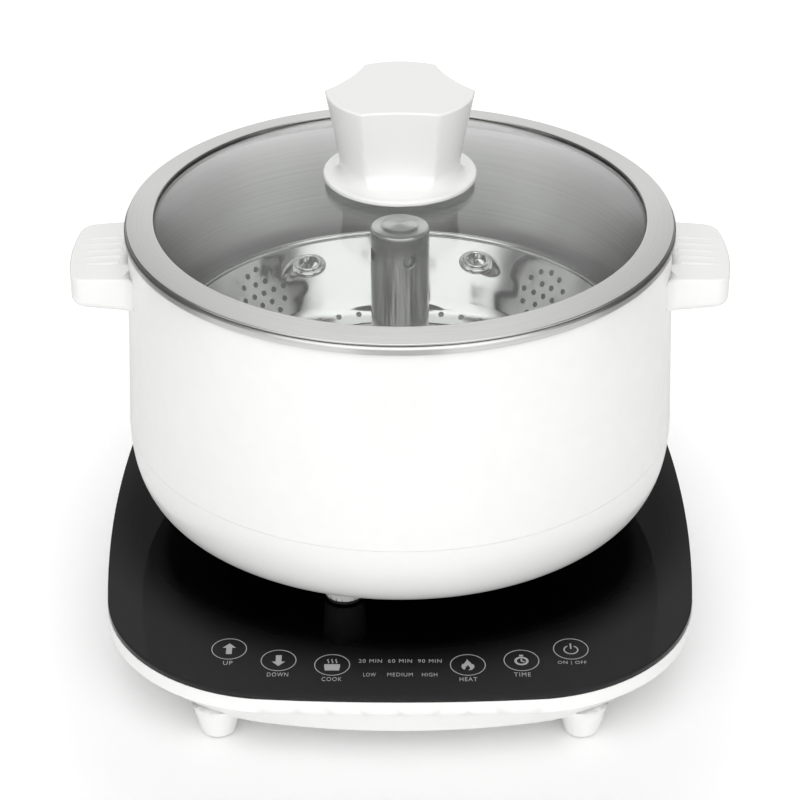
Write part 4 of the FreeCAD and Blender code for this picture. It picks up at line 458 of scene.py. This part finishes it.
def scatter_tree(cut_from=None):
    """Geometry Nodes: a source set on every point, its +Z along the point's aim.

    With cut_from, the sources are drilled out of that object instead of shown.
    """
    tree = bpy.data.node_groups.new("scatter", "GeometryNodeTree")
    face = tree.interface
    face.new_socket("Points", in_out="INPUT", socket_type="NodeSocketGeometry")
    face.new_socket("Source", in_out="INPUT", socket_type="NodeSocketObject")
    face.new_socket("Material", in_out="INPUT", socket_type="NodeSocketMaterial")
    face.new_socket("Size", in_out="INPUT", socket_type="NodeSocketFloat").default_value = 1.0
    face.new_socket("Result", in_out="OUTPUT", socket_type="NodeSocketGeometry")
    given = add(tree, "NodeGroupInput").outputs
    source = add(tree, "GeometryNodeObjectInfo", {"Object": given["Source"]})
    aim = add(tree, "GeometryNodeInputNamedAttribute", {"Name": "aim"}, data_type="FLOAT_VECTOR")
    turn = add(tree, "FunctionNodeAlignRotationToVector", {"Vector": aim.outputs["Attribute"]}, axis="Z")
    copies = add(tree, "GeometryNodeInstanceOnPoints", {
        "Points": given["Points"], "Instance": source.outputs["Geometry"],
        "Rotation": turn.outputs[0], "Scale": given["Size"]})
    shape = add(tree, "GeometryNodeRealizeInstances", {0: copies.outputs[0]}).outputs[0]
    if cut_from:
        whole = add(tree, "GeometryNodeObjectInfo", {"Object": cut_from})
        drilled = add(tree, "GeometryNodeMeshBoolean", {0: whole.outputs["Geometry"], 1: shape},
                      operation="DIFFERENCE", solver="EXACT")
        shape = drilled.outputs[0]
    dressed = add(tree, "GeometryNodeSetMaterial", {"Geometry": shape, "Material": given["Material"]})
    add(tree, "NodeGroupOutput", {0: dressed.outputs[0]})
    return tree


def scattered(source, spots, material, cut_from=None):
    """A plain mesh of the source set at each (place, aim), or drilled out of cut_from there."""
    points = bpy.data.meshes.new("points")
    points.from_pydata([spot for spot, _ in spots], [], [])
    aims = points.attributes.new("aim", "FLOAT_VECTOR", "POINT")
    for index, (_, aim) in enumerate(spots):
        aims.data[index].vector = aim
    holder = bpy.data.objects.new("holder", points)
    model = bpy.data.objects.new("source", source)
    whole = bpy.data.objects.new("whole", cut_from) if cut_from else None
    for obj in (holder, model, whole):
        if obj:
            scene.collection.objects.link(obj)
    spread = holder.modifiers.new("scatter", "NODES")
    spread.node_group = scatter_tree(whole)
    values = {"Source": model, "Material": material, "Size": 1.0}
    for item in spread.node_group.interface.items_tree:
        if item.name in values:
            spread[item.identifier] = values[item.name]
    mesh = evaluated(holder)
    for obj in (model, whole):
        if obj:
            bpy.data.objects.remove(obj)
    return mesh


key_ring = lathe("key_ring", [(KEY_RADIUS, PRINT_LOW), (KEY_RADIUS, PRINT_HIGH),
                              (KEY_RADIUS - KEY_LINE, PRINT_HIGH), (KEY_RADIUS - KEY_LINE, PRINT_LOW)],
                 (0.0, 0.0), RING_SEGMENTS)
key_places = [(Vector((x, PANEL_FRONT + inset, GLASS_TOP)) * MM, (0, 0, 1)) for x, inset in KEY_SPOTS]
place("key_rings", scattered(key_ring, key_places, ink), ink, "base", "white_enamel", smooth=False)


# --- Printed icons and legends ----------------------------------------------------------------
def arc(radius, start, stop, steps, centre):
    """Points along an arc between two angles in degrees."""
    turns = [math.radians(start + (stop - start) * step / steps) for step in range(steps + 1)]
    return [(centre[0] + radius * math.cos(turn), centre[1] + radius * math.sin(turn)) for turn in turns]


def band(inner, outer, start, stop, steps, centre):
    """A bent strip between two radii."""
    return arc(outer, start, stop, steps, centre) + arc(inner, stop, start, steps, centre)


def bar(x, y, width, height, lean=0.0):
    """A stroke that stands on (x, y), leaning by an angle in degrees."""
    corners = [(-width / 2, 0.0), (width / 2, 0.0), (width / 2, height), (-width / 2, height)]
    turn = Matrix.Rotation(math.radians(lean), 2)
    return [tuple(turn @ Vector(corner) + Vector((x, y))) for corner in corners]


def wave(x, y, width, height):
    """One wisp of steam."""
    left, right = [], []
    for step in range(WAVE_STEPS + 1):
        share = step / WAVE_STEPS
        sway = STEAM_SWAY * math.sin(share * math.tau)
        left.append((x + sway - width / 2, y + height * share))
        right.append((x + sway + width / 2, y + height * share))
    return left + right[::-1]


# Icons, as outlines in millimetres about the middle of their key.
ARROW = [(0.0, 4.7), (3.3, 1.0), (1.45, 1.0), (1.45, -4.3), (-1.45, -4.3), (-1.45, 1.0), (-3.3, 1.0)]
FLAME = [(0.1, -4.6), (2.0, -4.0), (3.1, -2.4), (3.2, -0.9), (2.5, 0.8), (2.0, 0.2), (1.6, 1.6),
         (0.6, 3.0), (-0.4, 4.8), (-0.7, 3.2), (-1.6, 1.6), (-2.0, 0.4), (-2.5, 1.0), (-3.2, -0.8),
         (-3.0, -2.6), (-1.9, -4.0), (-1.3, -3.2), (-0.9, -1.6), (0.0, -0.2), (0.9, -1.8), (1.1, -3.2)]
POT_ICON = [[(-3.5, -4.6), (3.5, -4.6), (3.9, -1.6), (3.9, 0.5), (-3.9, 0.5), (-3.9, -1.6)]]
POT_ICON += [wave(x, 1.4, 0.5, 3.4) for x in (-2.0, 0.0, 2.0)]
CLOCK_ICON = [band(2.35, 3.55, 90, 449, 28, (0.0, -0.5)), bar(0.0, -0.7, 0.8, 2.0),
              bar(0.0, -0.7, 0.8, 1.6, -110), bar(0.0, 3.4, 2.0, 1.3)]
POWER_ICON = [band(3.1, 3.75, 118, 422, 26, (0.0, -0.7)), bar(0.0, 0.0, 0.75, 4.6)]
ICONS = ([ARROW], [[(x, -y) for x, y in ARROW]], POT_ICON, [FLAME], CLOCK_ICON, POWER_ICON)


def printed(bm, outline, x, y):
    """Adds a flat raised shape to bm, its outline given in millimetres about (x, y)."""
    low = [bm.verts.new(Vector((x + u, y + v, GLASS_TOP + PRINT_LOW)) * MM) for u, v in outline]
    high = [bm.verts.new(Vector((x + u, y + v, GLASS_TOP + PRINT_HIGH)) * MM) for u, v in outline]
    bm.faces.new(high)
    bm.faces.new(low[::-1])
    for index in range(len(outline)):
        bm.faces.new((low[index - 1], low[index], high[index], high[index - 1]))


icons = bmesh.new()
for (x, inset), shapes in zip(KEY_SPOTS, ICONS):
    for outline in shapes:
        printed(icons, outline, x, PANEL_FRONT + inset)
bmesh.ops.recalc_face_normals(icons, faces=icons.faces)
bmesh.ops.triangulate(icons, faces=[face for face in icons.faces if len(face.verts) > 4])
icon_mesh = bpy.data.meshes.new("key_icons")
icons.to_mesh(icon_mesh)
icons.free()
place("key_icons", icon_mesh, ink, "base", "white_enamel", smooth=False)

# Each legend: its words, the middle of its line, and its width.
KEY_LEGENDS = [("UP", -85.4, 28.0, 4.6), ("DOWN", -60.3, 18.3, 10.4), ("COOK", -33.6, 14.5, 9.8),
               ("HEAT", 33.6, 14.5, 8.7), ("TIME", 60.3, 18.3, 8.3), ("ON | OFF", 85.4, 28.0, 14.3)]
SMALL_LEGENDS = [("20 MIN", -14.7, 29.6, 11.5), ("60 MIN", 0.0, 29.6, 11.9), ("90 MIN", 14.8, 29.6, 11.7),
                 ("LOW", -15.0, 18.2, 6.2), ("MEDIUM", 0.0, 18.2, 12.5), ("HIGH", 14.6, 18.2, 7.5)]


def legend_mesh(words, x, inset, width, height):
    """One line of capitals as a thin raised mesh, fitted to its width and height."""
    curve = bpy.data.curves.new("words", "FONT")
    curve.body = words
    curve.resolution_u = LETTER_STEPS
    curve.extrude = LETTER_DEPTH
    curve.offset = LETTER_THINNING
    curve.space_character = LETTER_SPACING
    mesh = mesh_of(curve)
    low = [min(vert.co[axis] for vert in mesh.vertices) for axis in range(3)]
    high = [max(vert.co[axis] for vert in mesh.vertices) for axis in range(3)]
    sizes = (width, height, PRINT_HIGH - PRINT_LOW)
    starts = (x - width / 2, PANEL_FRONT + inset - height / 2, GLASS_TOP + PRINT_LOW)
    for vert in mesh.vertices:
        vert.co = Vector([starts[axis] + sizes[axis] * (vert.co[axis] - low[axis]) / (high[axis] - low[axis])
                          for axis in range(3)]) * MM
    return mesh


legends = bmesh.new()
for rows, capitals in ((KEY_LEGENDS, KEY_CAPITALS), (SMALL_LEGENDS, SMALL_CAPITALS)):
    for words, x, inset, width in rows:
        legends.from_mesh(legend_mesh(words, x, inset, width, capitals))
bmesh.ops.remove_doubles(legends, verts=legends.verts, dist=1e-7)
legend_print = bpy.data.meshes.new("key_legends")
legends.to_mesh(legend_print)
legends.free()
place("key_legends", legend_print, ink, "base", "white_enamel", smooth=False)


# --- The pot ----------------------------------------------------------------------------------
def shell_radius(height):
    return SHELL_RADIUS + (SHELL_TOP - height) / (SHELL_TOP - POT_SEAM) * (SEAM_RADIUS - SHELL_RADIUS)


def cover_curve(wall):
    """The rounded underside from its seam to its flat, thinned by wall."""
    top = POT_SEAM - SEAM_GAP
    reach, drop = SEAM_RADIUS - COVER_FLAT - wall, top - POT_BOTTOM - wall
    line = []
    for step in range(COVER_STEPS + 1):
        turn = math.pi / 2 * step / COVER_STEPS
        out = math.cos(turn) ** (2 / COVER_FULLNESS) if step < COVER_STEPS else 0.0
        line.append((COVER_FLAT + reach * out, top - drop * math.sin(turn) ** (2 / COVER_FULLNESS)))
    return line


LEDGE = SHELL_TOP - SHELL_WALL
turned("pot_wall", [(SEAM_RADIUS, POT_SEAM, 0.12), (SHELL_RADIUS, SHELL_TOP, 0.5), (SHELL_LIP, SHELL_TOP),
                    (SHELL_LIP, LEDGE), (shell_radius(LEDGE) - SHELL_WALL, LEDGE),
                    (SEAM_RADIUS - SHELL_WALL, POT_SEAM)],
       enamel, "pot", "white_enamel", "outer_shell")
TONGUE_OUTER = SEAM_RADIUS - SHELL_WALL - TONGUE_CLEARANCE
TONGUE_INNER = TONGUE_OUTER - TONGUE_WALL
# The inner curve starts below the tongue, so its first points are left out.
COVER_INSIDE_START = 9
turned("pot_underside",
       cover_curve(0.0) + [(CONNECTOR_HOLE, POT_BOTTOM), (CONNECTOR_HOLE, POT_BOTTOM + COVER_WALL)]
       + cover_curve(COVER_WALL)[COVER_INSIDE_START:][::-1]
       + [(TONGUE_INNER, POT_SEAM - TONGUE_LOW), (TONGUE_INNER, POT_SEAM + TONGUE_HIGH),
          (TONGUE_OUTER, POT_SEAM + TONGUE_HIGH), (TONGUE_OUTER, POT_SEAM - SEAM_GAP)],
       abs_white, "pot", "white_gloss_plastic", "bottom_cover")
turned("cooking_vessel",
       [(FLANGE_RADIUS, FLANGE_HEM), (FLANGE_RADIUS, FLANGE_TOP, 1.4), (VESSEL_RADIUS, FLANGE_TOP, 1.5),
        (VESSEL_RADIUS, VESSEL_FLOOR, VESSEL_CORNER), (CHIMNEY_RADIUS, VESSEL_FLOOR),
        (CHIMNEY_RADIUS, VESSEL_FLOOR - VESSEL_SHEET),
        (VESSEL_RADIUS + VESSEL_SHEET, VESSEL_FLOOR - VESSEL_SHEET, VESSEL_CORNER + VESSEL_SHEET),
        (VESSEL_RADIUS + VESSEL_SHEET, FLANGE_TOP - VESSEL_SHEET, 0.7),
        (FLANGE_RADIUS - VESSEL_SHEET, FLANGE_TOP - VESSEL_SHEET, 0.7),
        (FLANGE_RADIUS - VESSEL_SHEET, FLANGE_HEM)],
       vessel_steel, "pot", "brushed_steel", "inner_pot")
refined("grip_right", "right_handle", abs_white, "pot", "white_gloss_plastic")
refined("grip_left", "left_handle", abs_white, "pot", "white_gloss_plastic")
for number in (1, 2, 3):
    refined(f"standing_foot_{number}", f"pot_foot_{number}", abs_white, "pot", "white_gloss_plastic")


# --- The basket -------------------------------------------------------------------------------
def around(radius, angle, height):
    """A place at an angle in degrees round the pot's axis."""
    turn = math.radians(angle)
    return Vector((radius * math.cos(turn), POT_Y + radius * math.sin(turn), height))


def wall_radius(height):
    return BASKET_RIM - (BASKET_RIM_Z - height) * BASKET_SLOPE


def wall_spot(angle, along, up):
    """A place in the basket's sloping wall about a group's middle, and the way out of the wall."""
    turn = math.radians(angle)
    outward = Vector((math.cos(turn), math.sin(turn), 0))
    sideways = Vector((-math.sin(turn), math.cos(turn), 0))
    climb = (outward * BASKET_SLOPE + Vector((0, 0, 1))) / BASKET_SLANT
    aim = (outward - Vector((0, 0, BASKET_SLOPE))) / BASKET_SLANT
    middle = around(wall_radius(GROUP_Z), angle, GROUP_Z)
    return middle + sideways * along + climb * up - aim * (BASKET_SHEET / 2), aim


def hole_spots():
    """Where the basket is drilled, and which way: four groups and a row round its corner."""
    spots = []
    for angle in GROUP_ANGLES:
        for count, reach in GROUP_RINGS:
            for step in range(count):
                turn = math.tau * step / count
                spots.append(wall_spot(angle, reach * math.cos(turn), reach * math.sin(turn)))
    offset = CORNER_HOLE_RADIUS - (wall_radius(BASKET_FLOOR) - CORNER_RUN)
    sink = math.sqrt(BASKET_CORNER ** 2 - offset ** 2)
    for step in range(CORNER_HOLES):
        angle = 360 * step / CORNER_HOLES
        turn = math.radians(angle)
        aim = Vector((math.cos(turn) * offset, math.sin(turn) * offset, -sink)) / BASKET_CORNER
        spots.append((around(CORNER_HOLE_RADIUS, angle, BASKET_FLOOR + BASKET_CORNER - sink), aim))
    return spots


BOWL_CORNER = wall_radius(BASKET_FLOOR)
bowl = lathe("bowl", rounded([
    (SLEEVE_RADIUS, BASKET_FLOOR), (BOWL_CORNER, BASKET_FLOOR, BASKET_CORNER), (BASKET_RIM, BASKET_RIM_Z),
    (BASKET_RIM - BASKET_SHEET * BASKET_SLANT, BASKET_RIM_Z),
    (BOWL_CORNER - BASKET_SHEET * BASKET_SLANT + BASKET_SHEET * BASKET_SLOPE, BASKET_FLOOR + BASKET_SHEET,
     BASKET_CORNER - BASKET_SHEET),
    (SLEEVE_RADIUS, BASKET_FLOOR + BASKET_SHEET)]))
bowl.shade_smooth()
half = CUTTER_LENGTH / 2
drill = lathe("drill", [(0.0, -half), (HOLE_RADIUS, -half), (HOLE_RADIUS, half), (0.0, half)],
              (0.0, 0.0), DRILL_SEGMENTS)
bowl = scattered(drill, [(spot * MM, aim) for spot, aim in hole_spots()], polished, bowl)
place("basket_perforated", bowl, polished, "basket", "polished_steel", "basket_bowl")
# A rolled eyelet: a round-edged flange with a raised collar around its hole.
grommet = lathe("grommet", rounded([
    (EYELET_BORE, -EYELET_HALF, 0.9), (EYELET_EDGE, -EYELET_HALF, 1.5), (EYELET_EDGE, EYELET_HALF, 1.5),
    (EYELET_COLLAR + COLLAR_FLARE, EYELET_HALF - COLLAR_SINK, 0.5), (EYELET_COLLAR, EYELET_TOP, 0.85),
    (EYELET_BORE, EYELET_TOP, 0.9)]), (0.0, 0.0), RING_SEGMENTS)
eyelet_spots = []
for angle, radius in EYELETS:
    spot = around(radius, angle, EYELET_Z)
    lean = (math.copysign(EYELET_LEAN_X, spot.x), -math.copysign(EYELET_LEAN_Y, spot.y - POT_Y), 1)
    eyelet_spots.append((spot * MM, Vector(lean).normalized()))
place("basket_eyelets", scattered(grommet, eyelet_spots, polished), polished, "basket", "polished_steel",
      "eyelet_1", "eyelet_2", "eyelet_3", "eyelet_4")
bead_turns = [math.tau * step / BEAD_STEPS for step in range(BEAD_STEPS)]
bead = [(BASKET_RIM + BEAD_RADIUS * math.cos(turn), BASKET_RIM_Z + BEAD_RADIUS * math.sin(turn))
        for turn in bead_turns]
place("basket_bead", lathe("basket_bead", bead), polished, "basket", "polished_steel", "basket_rim")
refined("column_tube", "centre_sleeve", satin, "basket", "polished_steel")
refined("column_cap", "sleeve_cap", brushed, "basket", "polished_steel")


# --- The lid ----------------------------------------------------------------------------------
# The rim's sheet is folded down at its outer edge and around the glass at its inner edge.
turned("lid_ring",
       [(LID_RADIUS, LID_LOW, 0.3), (LID_RADIUS, LID_SHOULDER, 0.55), (LID_INNER, LID_CROWN, 0.7),
        (LID_INNER, LID_FOLD), (LID_INNER + LID_HEM, LID_FOLD), (LID_INNER + LID_HEM, LID_FOLD + FOLD_EDGE),
        (LID_RADIUS - LID_HEM, LID_LOW + LOWER_EDGE), (LID_RADIUS - LID_HEM, LID_LOW)],
       brushed, "lid", "brushed_steel", "lid_rim")


def dome_line(shrink):
    """The dome's section from its screw hole to its edge, on a sphere made smaller by shrink."""
    sphere = (LID_INNER ** 2 + DOME_RISE ** 2) / (2 * DOME_RISE)
    centre = DOME_EDGE_Z + DOME_RISE - sphere
    radii = [DOME_HOLE + (DOME_RADIUS - DOME_HOLE) * step / DOME_STEPS for step in range(DOME_STEPS + 1)]
    return [(radius, centre + math.sqrt((sphere - shrink) ** 2 - radius ** 2)) for radius in radii]


turned("lid_dome", dome_line(0.0) + dome_line(DOME_THICKNESS)[::-1], clear_glass,
       "lid", "clear_glass", "lid_glass")
refined("lid_seal_ring", "lid_seal", seal_silicone, "lid", "dark_rubber")
refined("lid_knob", "knob", abs_white, "lid", "white_gloss_plastic")


# --- Floor, light and camera --------------------------------------------------------------------
def floor_paper():
    """Matt white paper, which fades from white into the object's soft shadow, partly real and partly painted.

    The camera alone sees a glow on it, weaker inside an oval round the object as a painted shadow.
    """
    made = bpy.data.materials.new("pale_floor")
    made.use_nodes = True
    tree = made.node_tree
    shader = tree.nodes["Principled BSDF"]
    shader.inputs["Base Color"].default_value = linear("#f8f8f8")
    shader.inputs["Roughness"].default_value = 0.9
    shader.inputs["Specular IOR Level"].default_value = 0.0
    spot = add(tree, "ShaderNodeTexCoord").outputs["Object"]
    oval = add(tree, "ShaderNodeMapping", {"Vector": spot, "Location": (0.0, SHADOW_OVAL_SHIFT, 0.0),
                                           "Scale": (SHADOW_OVAL_STRETCH, 1.0, 1.0)}).outputs[0]
    away = add(tree, "ShaderNodeVectorMath", {0: oval}, operation="LENGTH").outputs["Value"]
    # Painted shadow: the glow is weaker close to the object.
    white = add(tree, "ShaderNodeMapRange", {"Value": away, "From Min": SHADOW_FADE_START, "From Max": SHADOW_FADE_END,
                                             "To Min": GLOW_IN_PAINTED_SHADOW, "To Max": GLOW_OUTSIDE_PAINTED_SHADOW},
                interpolation_type="SMOOTHSTEP").outputs[0]
    seen = add(tree, "ShaderNodeLightPath").outputs["Is Camera Ray"]
    glow = add(tree, "ShaderNodeMath", {0: seen, 1: white}, operation="MULTIPLY").outputs[0]
    shader.inputs["Emission Color"].default_value = (1, 1, 1, 1)
    tree.links.new(glow, shader.inputs["Emission Strength"])
    return made


bpy.ops.mesh.primitive_plane_add(size=12, location=(0, 0, 0))
floor = bpy.context.object
floor.name = "floor"
floor.data.materials.append(floor_paper())

# The studio's shades: the direction each follows, where it starts and stops, and its two tones.
SHADES = {
    "high": ("height", 0.2, 0.4, 0.0, 1.0),
    "low_walls": ("side", 0.45, 0.95, 1.0, 0.6),
    "high_walls": ("side", 0.28, 0.45, 1.0, UPPER_SIDE_TONE),
    "high_ahead": ("height", 0.12, 0.24, 0.0, 1.0),
    "front_half": ("depth", -0.35, -0.1, 1.0, 0.0),
    "front_wall": ("side", 0.6, 0.85, UPPER_FRONT_TONE, UPPER_SIDE_TONE),
    "ceiling": ("height", 0.55, 0.8, 1.0, CEILING_TONE),
}


def studio_world():
    """A white studio: its walls are dim high up at the sides and bright high up in front.

    What is seen directly, or straight through the glass, is a white backdrop.
    """
    world = bpy.data.worlds.new("studio")
    world.use_nodes = True
    tree = world.node_tree
    towards = add(tree, "ShaderNodeTexCoord").outputs["Generated"]
    split = add(tree, "ShaderNodeSeparateXYZ", {0: towards}).outputs
    side = add(tree, "ShaderNodeMath", {0: split["X"]}, operation="ABSOLUTE").outputs[0]
    directions = {"height": split["Z"], "depth": split["Y"], "side": side}
    shade = {}
    for name, (direction, start, stop, low, high) in SHADES.items():
        shade[name] = add(tree, "ShaderNodeMapRange", {
            "Value": directions[direction], "From Min": start, "From Max": stop,
            "To Min": low, "To Max": high}, interpolation_type="SMOOTHSTEP").outputs[0]
    walls = add(tree, "ShaderNodeMix", {"Factor": shade["high"], 2: shade["low_walls"],
                                        3: shade["high_walls"]}).outputs[0]
    ahead = add(tree, "ShaderNodeMath", {0: shade["high_ahead"], 1: shade["front_half"]},
                operation="MULTIPLY").outputs[0]
    lofts = add(tree, "ShaderNodeMix", {"Factor": ahead, 2: walls, 3: shade["front_wall"]}).outputs[0]
    room = add(tree, "ShaderNodeMath", {0: lofts, 1: shade["ceiling"]}, operation="MULTIPLY").outputs[0]
    ray = add(tree, "ShaderNodeLightPath").outputs
    bounces = add(tree, "ShaderNodeMath", {0: ray["Glossy Depth"], 1: ray["Diffuse Depth"]},
                  operation="ADD").outputs[0]
    # Bounces are whole numbers, so less than a half means none.
    straight = add(tree, "ShaderNodeMath", {0: bounces, 1: 0.5}, operation="LESS_THAN").outputs[0]
    direct = add(tree, "ShaderNodeMath", {0: ray["Is Camera Ray"], 1: ray["Is Transmission Ray"]},
                 operation="MAXIMUM").outputs[0]
    backdrop = add(tree, "ShaderNodeMath", {0: direct, 1: straight}, operation="MULTIPLY").outputs[0]
    strength = add(tree, "ShaderNodeMix", {"Factor": backdrop, 2: room, 3: 1.0}).outputs[0]
    background = tree.nodes["Background"]
    background.inputs["Color"].default_value = (1, 1, 1, 1)
    tree.links.new(strength, background.inputs["Strength"])
    return world


scene.world = studio_world()


def aimed(spot, target):
    """The turn that points a lamp or a camera at spot towards target."""
    return (Vector(target) - Vector(spot)).to_track_quat("-Z", "Y").to_euler()


def softbox(name, spot, target, size, energy):
    lamp = bpy.data.lights.new(name, "AREA")
    lamp.shape = "RECTANGLE"
    lamp.size, lamp.size_y = size
    lamp.energy = energy
    holder = bpy.data.objects.new(name, lamp)
    holder.location = spot
    holder.rotation_euler = aimed(spot, target)
    scene.collection.objects.link(holder)


def flag(name, low, high):
    """A black card beside the set, which only the object's reflections see."""
    card = bpy.data.meshes.new(name)
    card.from_pydata([low, (high[0], high[1], low[2]), high, (low[0], low[1], high[2])], [], [(0, 1, 2, 3)])
    card.materials.append(black_nylon)
    holder = bpy.data.objects.new(name, card)
    for rays in ("camera", "diffuse", "shadow", "transmission"):
        setattr(holder, "visible_" + rays, False)
    scene.collection.objects.link(holder)


softbox("front_softbox", spot=(0.0, -1.8, 0.35), target=(0, 0, 0.15), size=(1.6, 0.5), energy=1.4)
flag("left_flag", low=(-0.55, -0.14, 0.0), high=(-0.55, 1.1, 0.55))
flag("front_flag", low=(-0.12, -0.45, 0.0), high=(0.12, -0.45, 0.2))
flag("right_flag", low=(0.55, -0.14, 0.0), high=(0.55, 1.1, 0.55))

camera = bpy.data.cameras.new("camera")
camera.lens = CAMERA_LENS
camera.sensor_width = CAMERA_SENSOR
viewer = bpy.data.objects.new("camera", camera)
arm = Vector((0, -math.cos(CAMERA_LIFT), math.sin(CAMERA_LIFT))) * CAMERA_DISTANCE
viewer.location = Vector(CAMERA_TARGET) + arm
viewer.rotation_euler = aimed(viewer.location, CAMERA_TARGET)
scene.collection.objects.link(viewer)
scene.camera = viewer
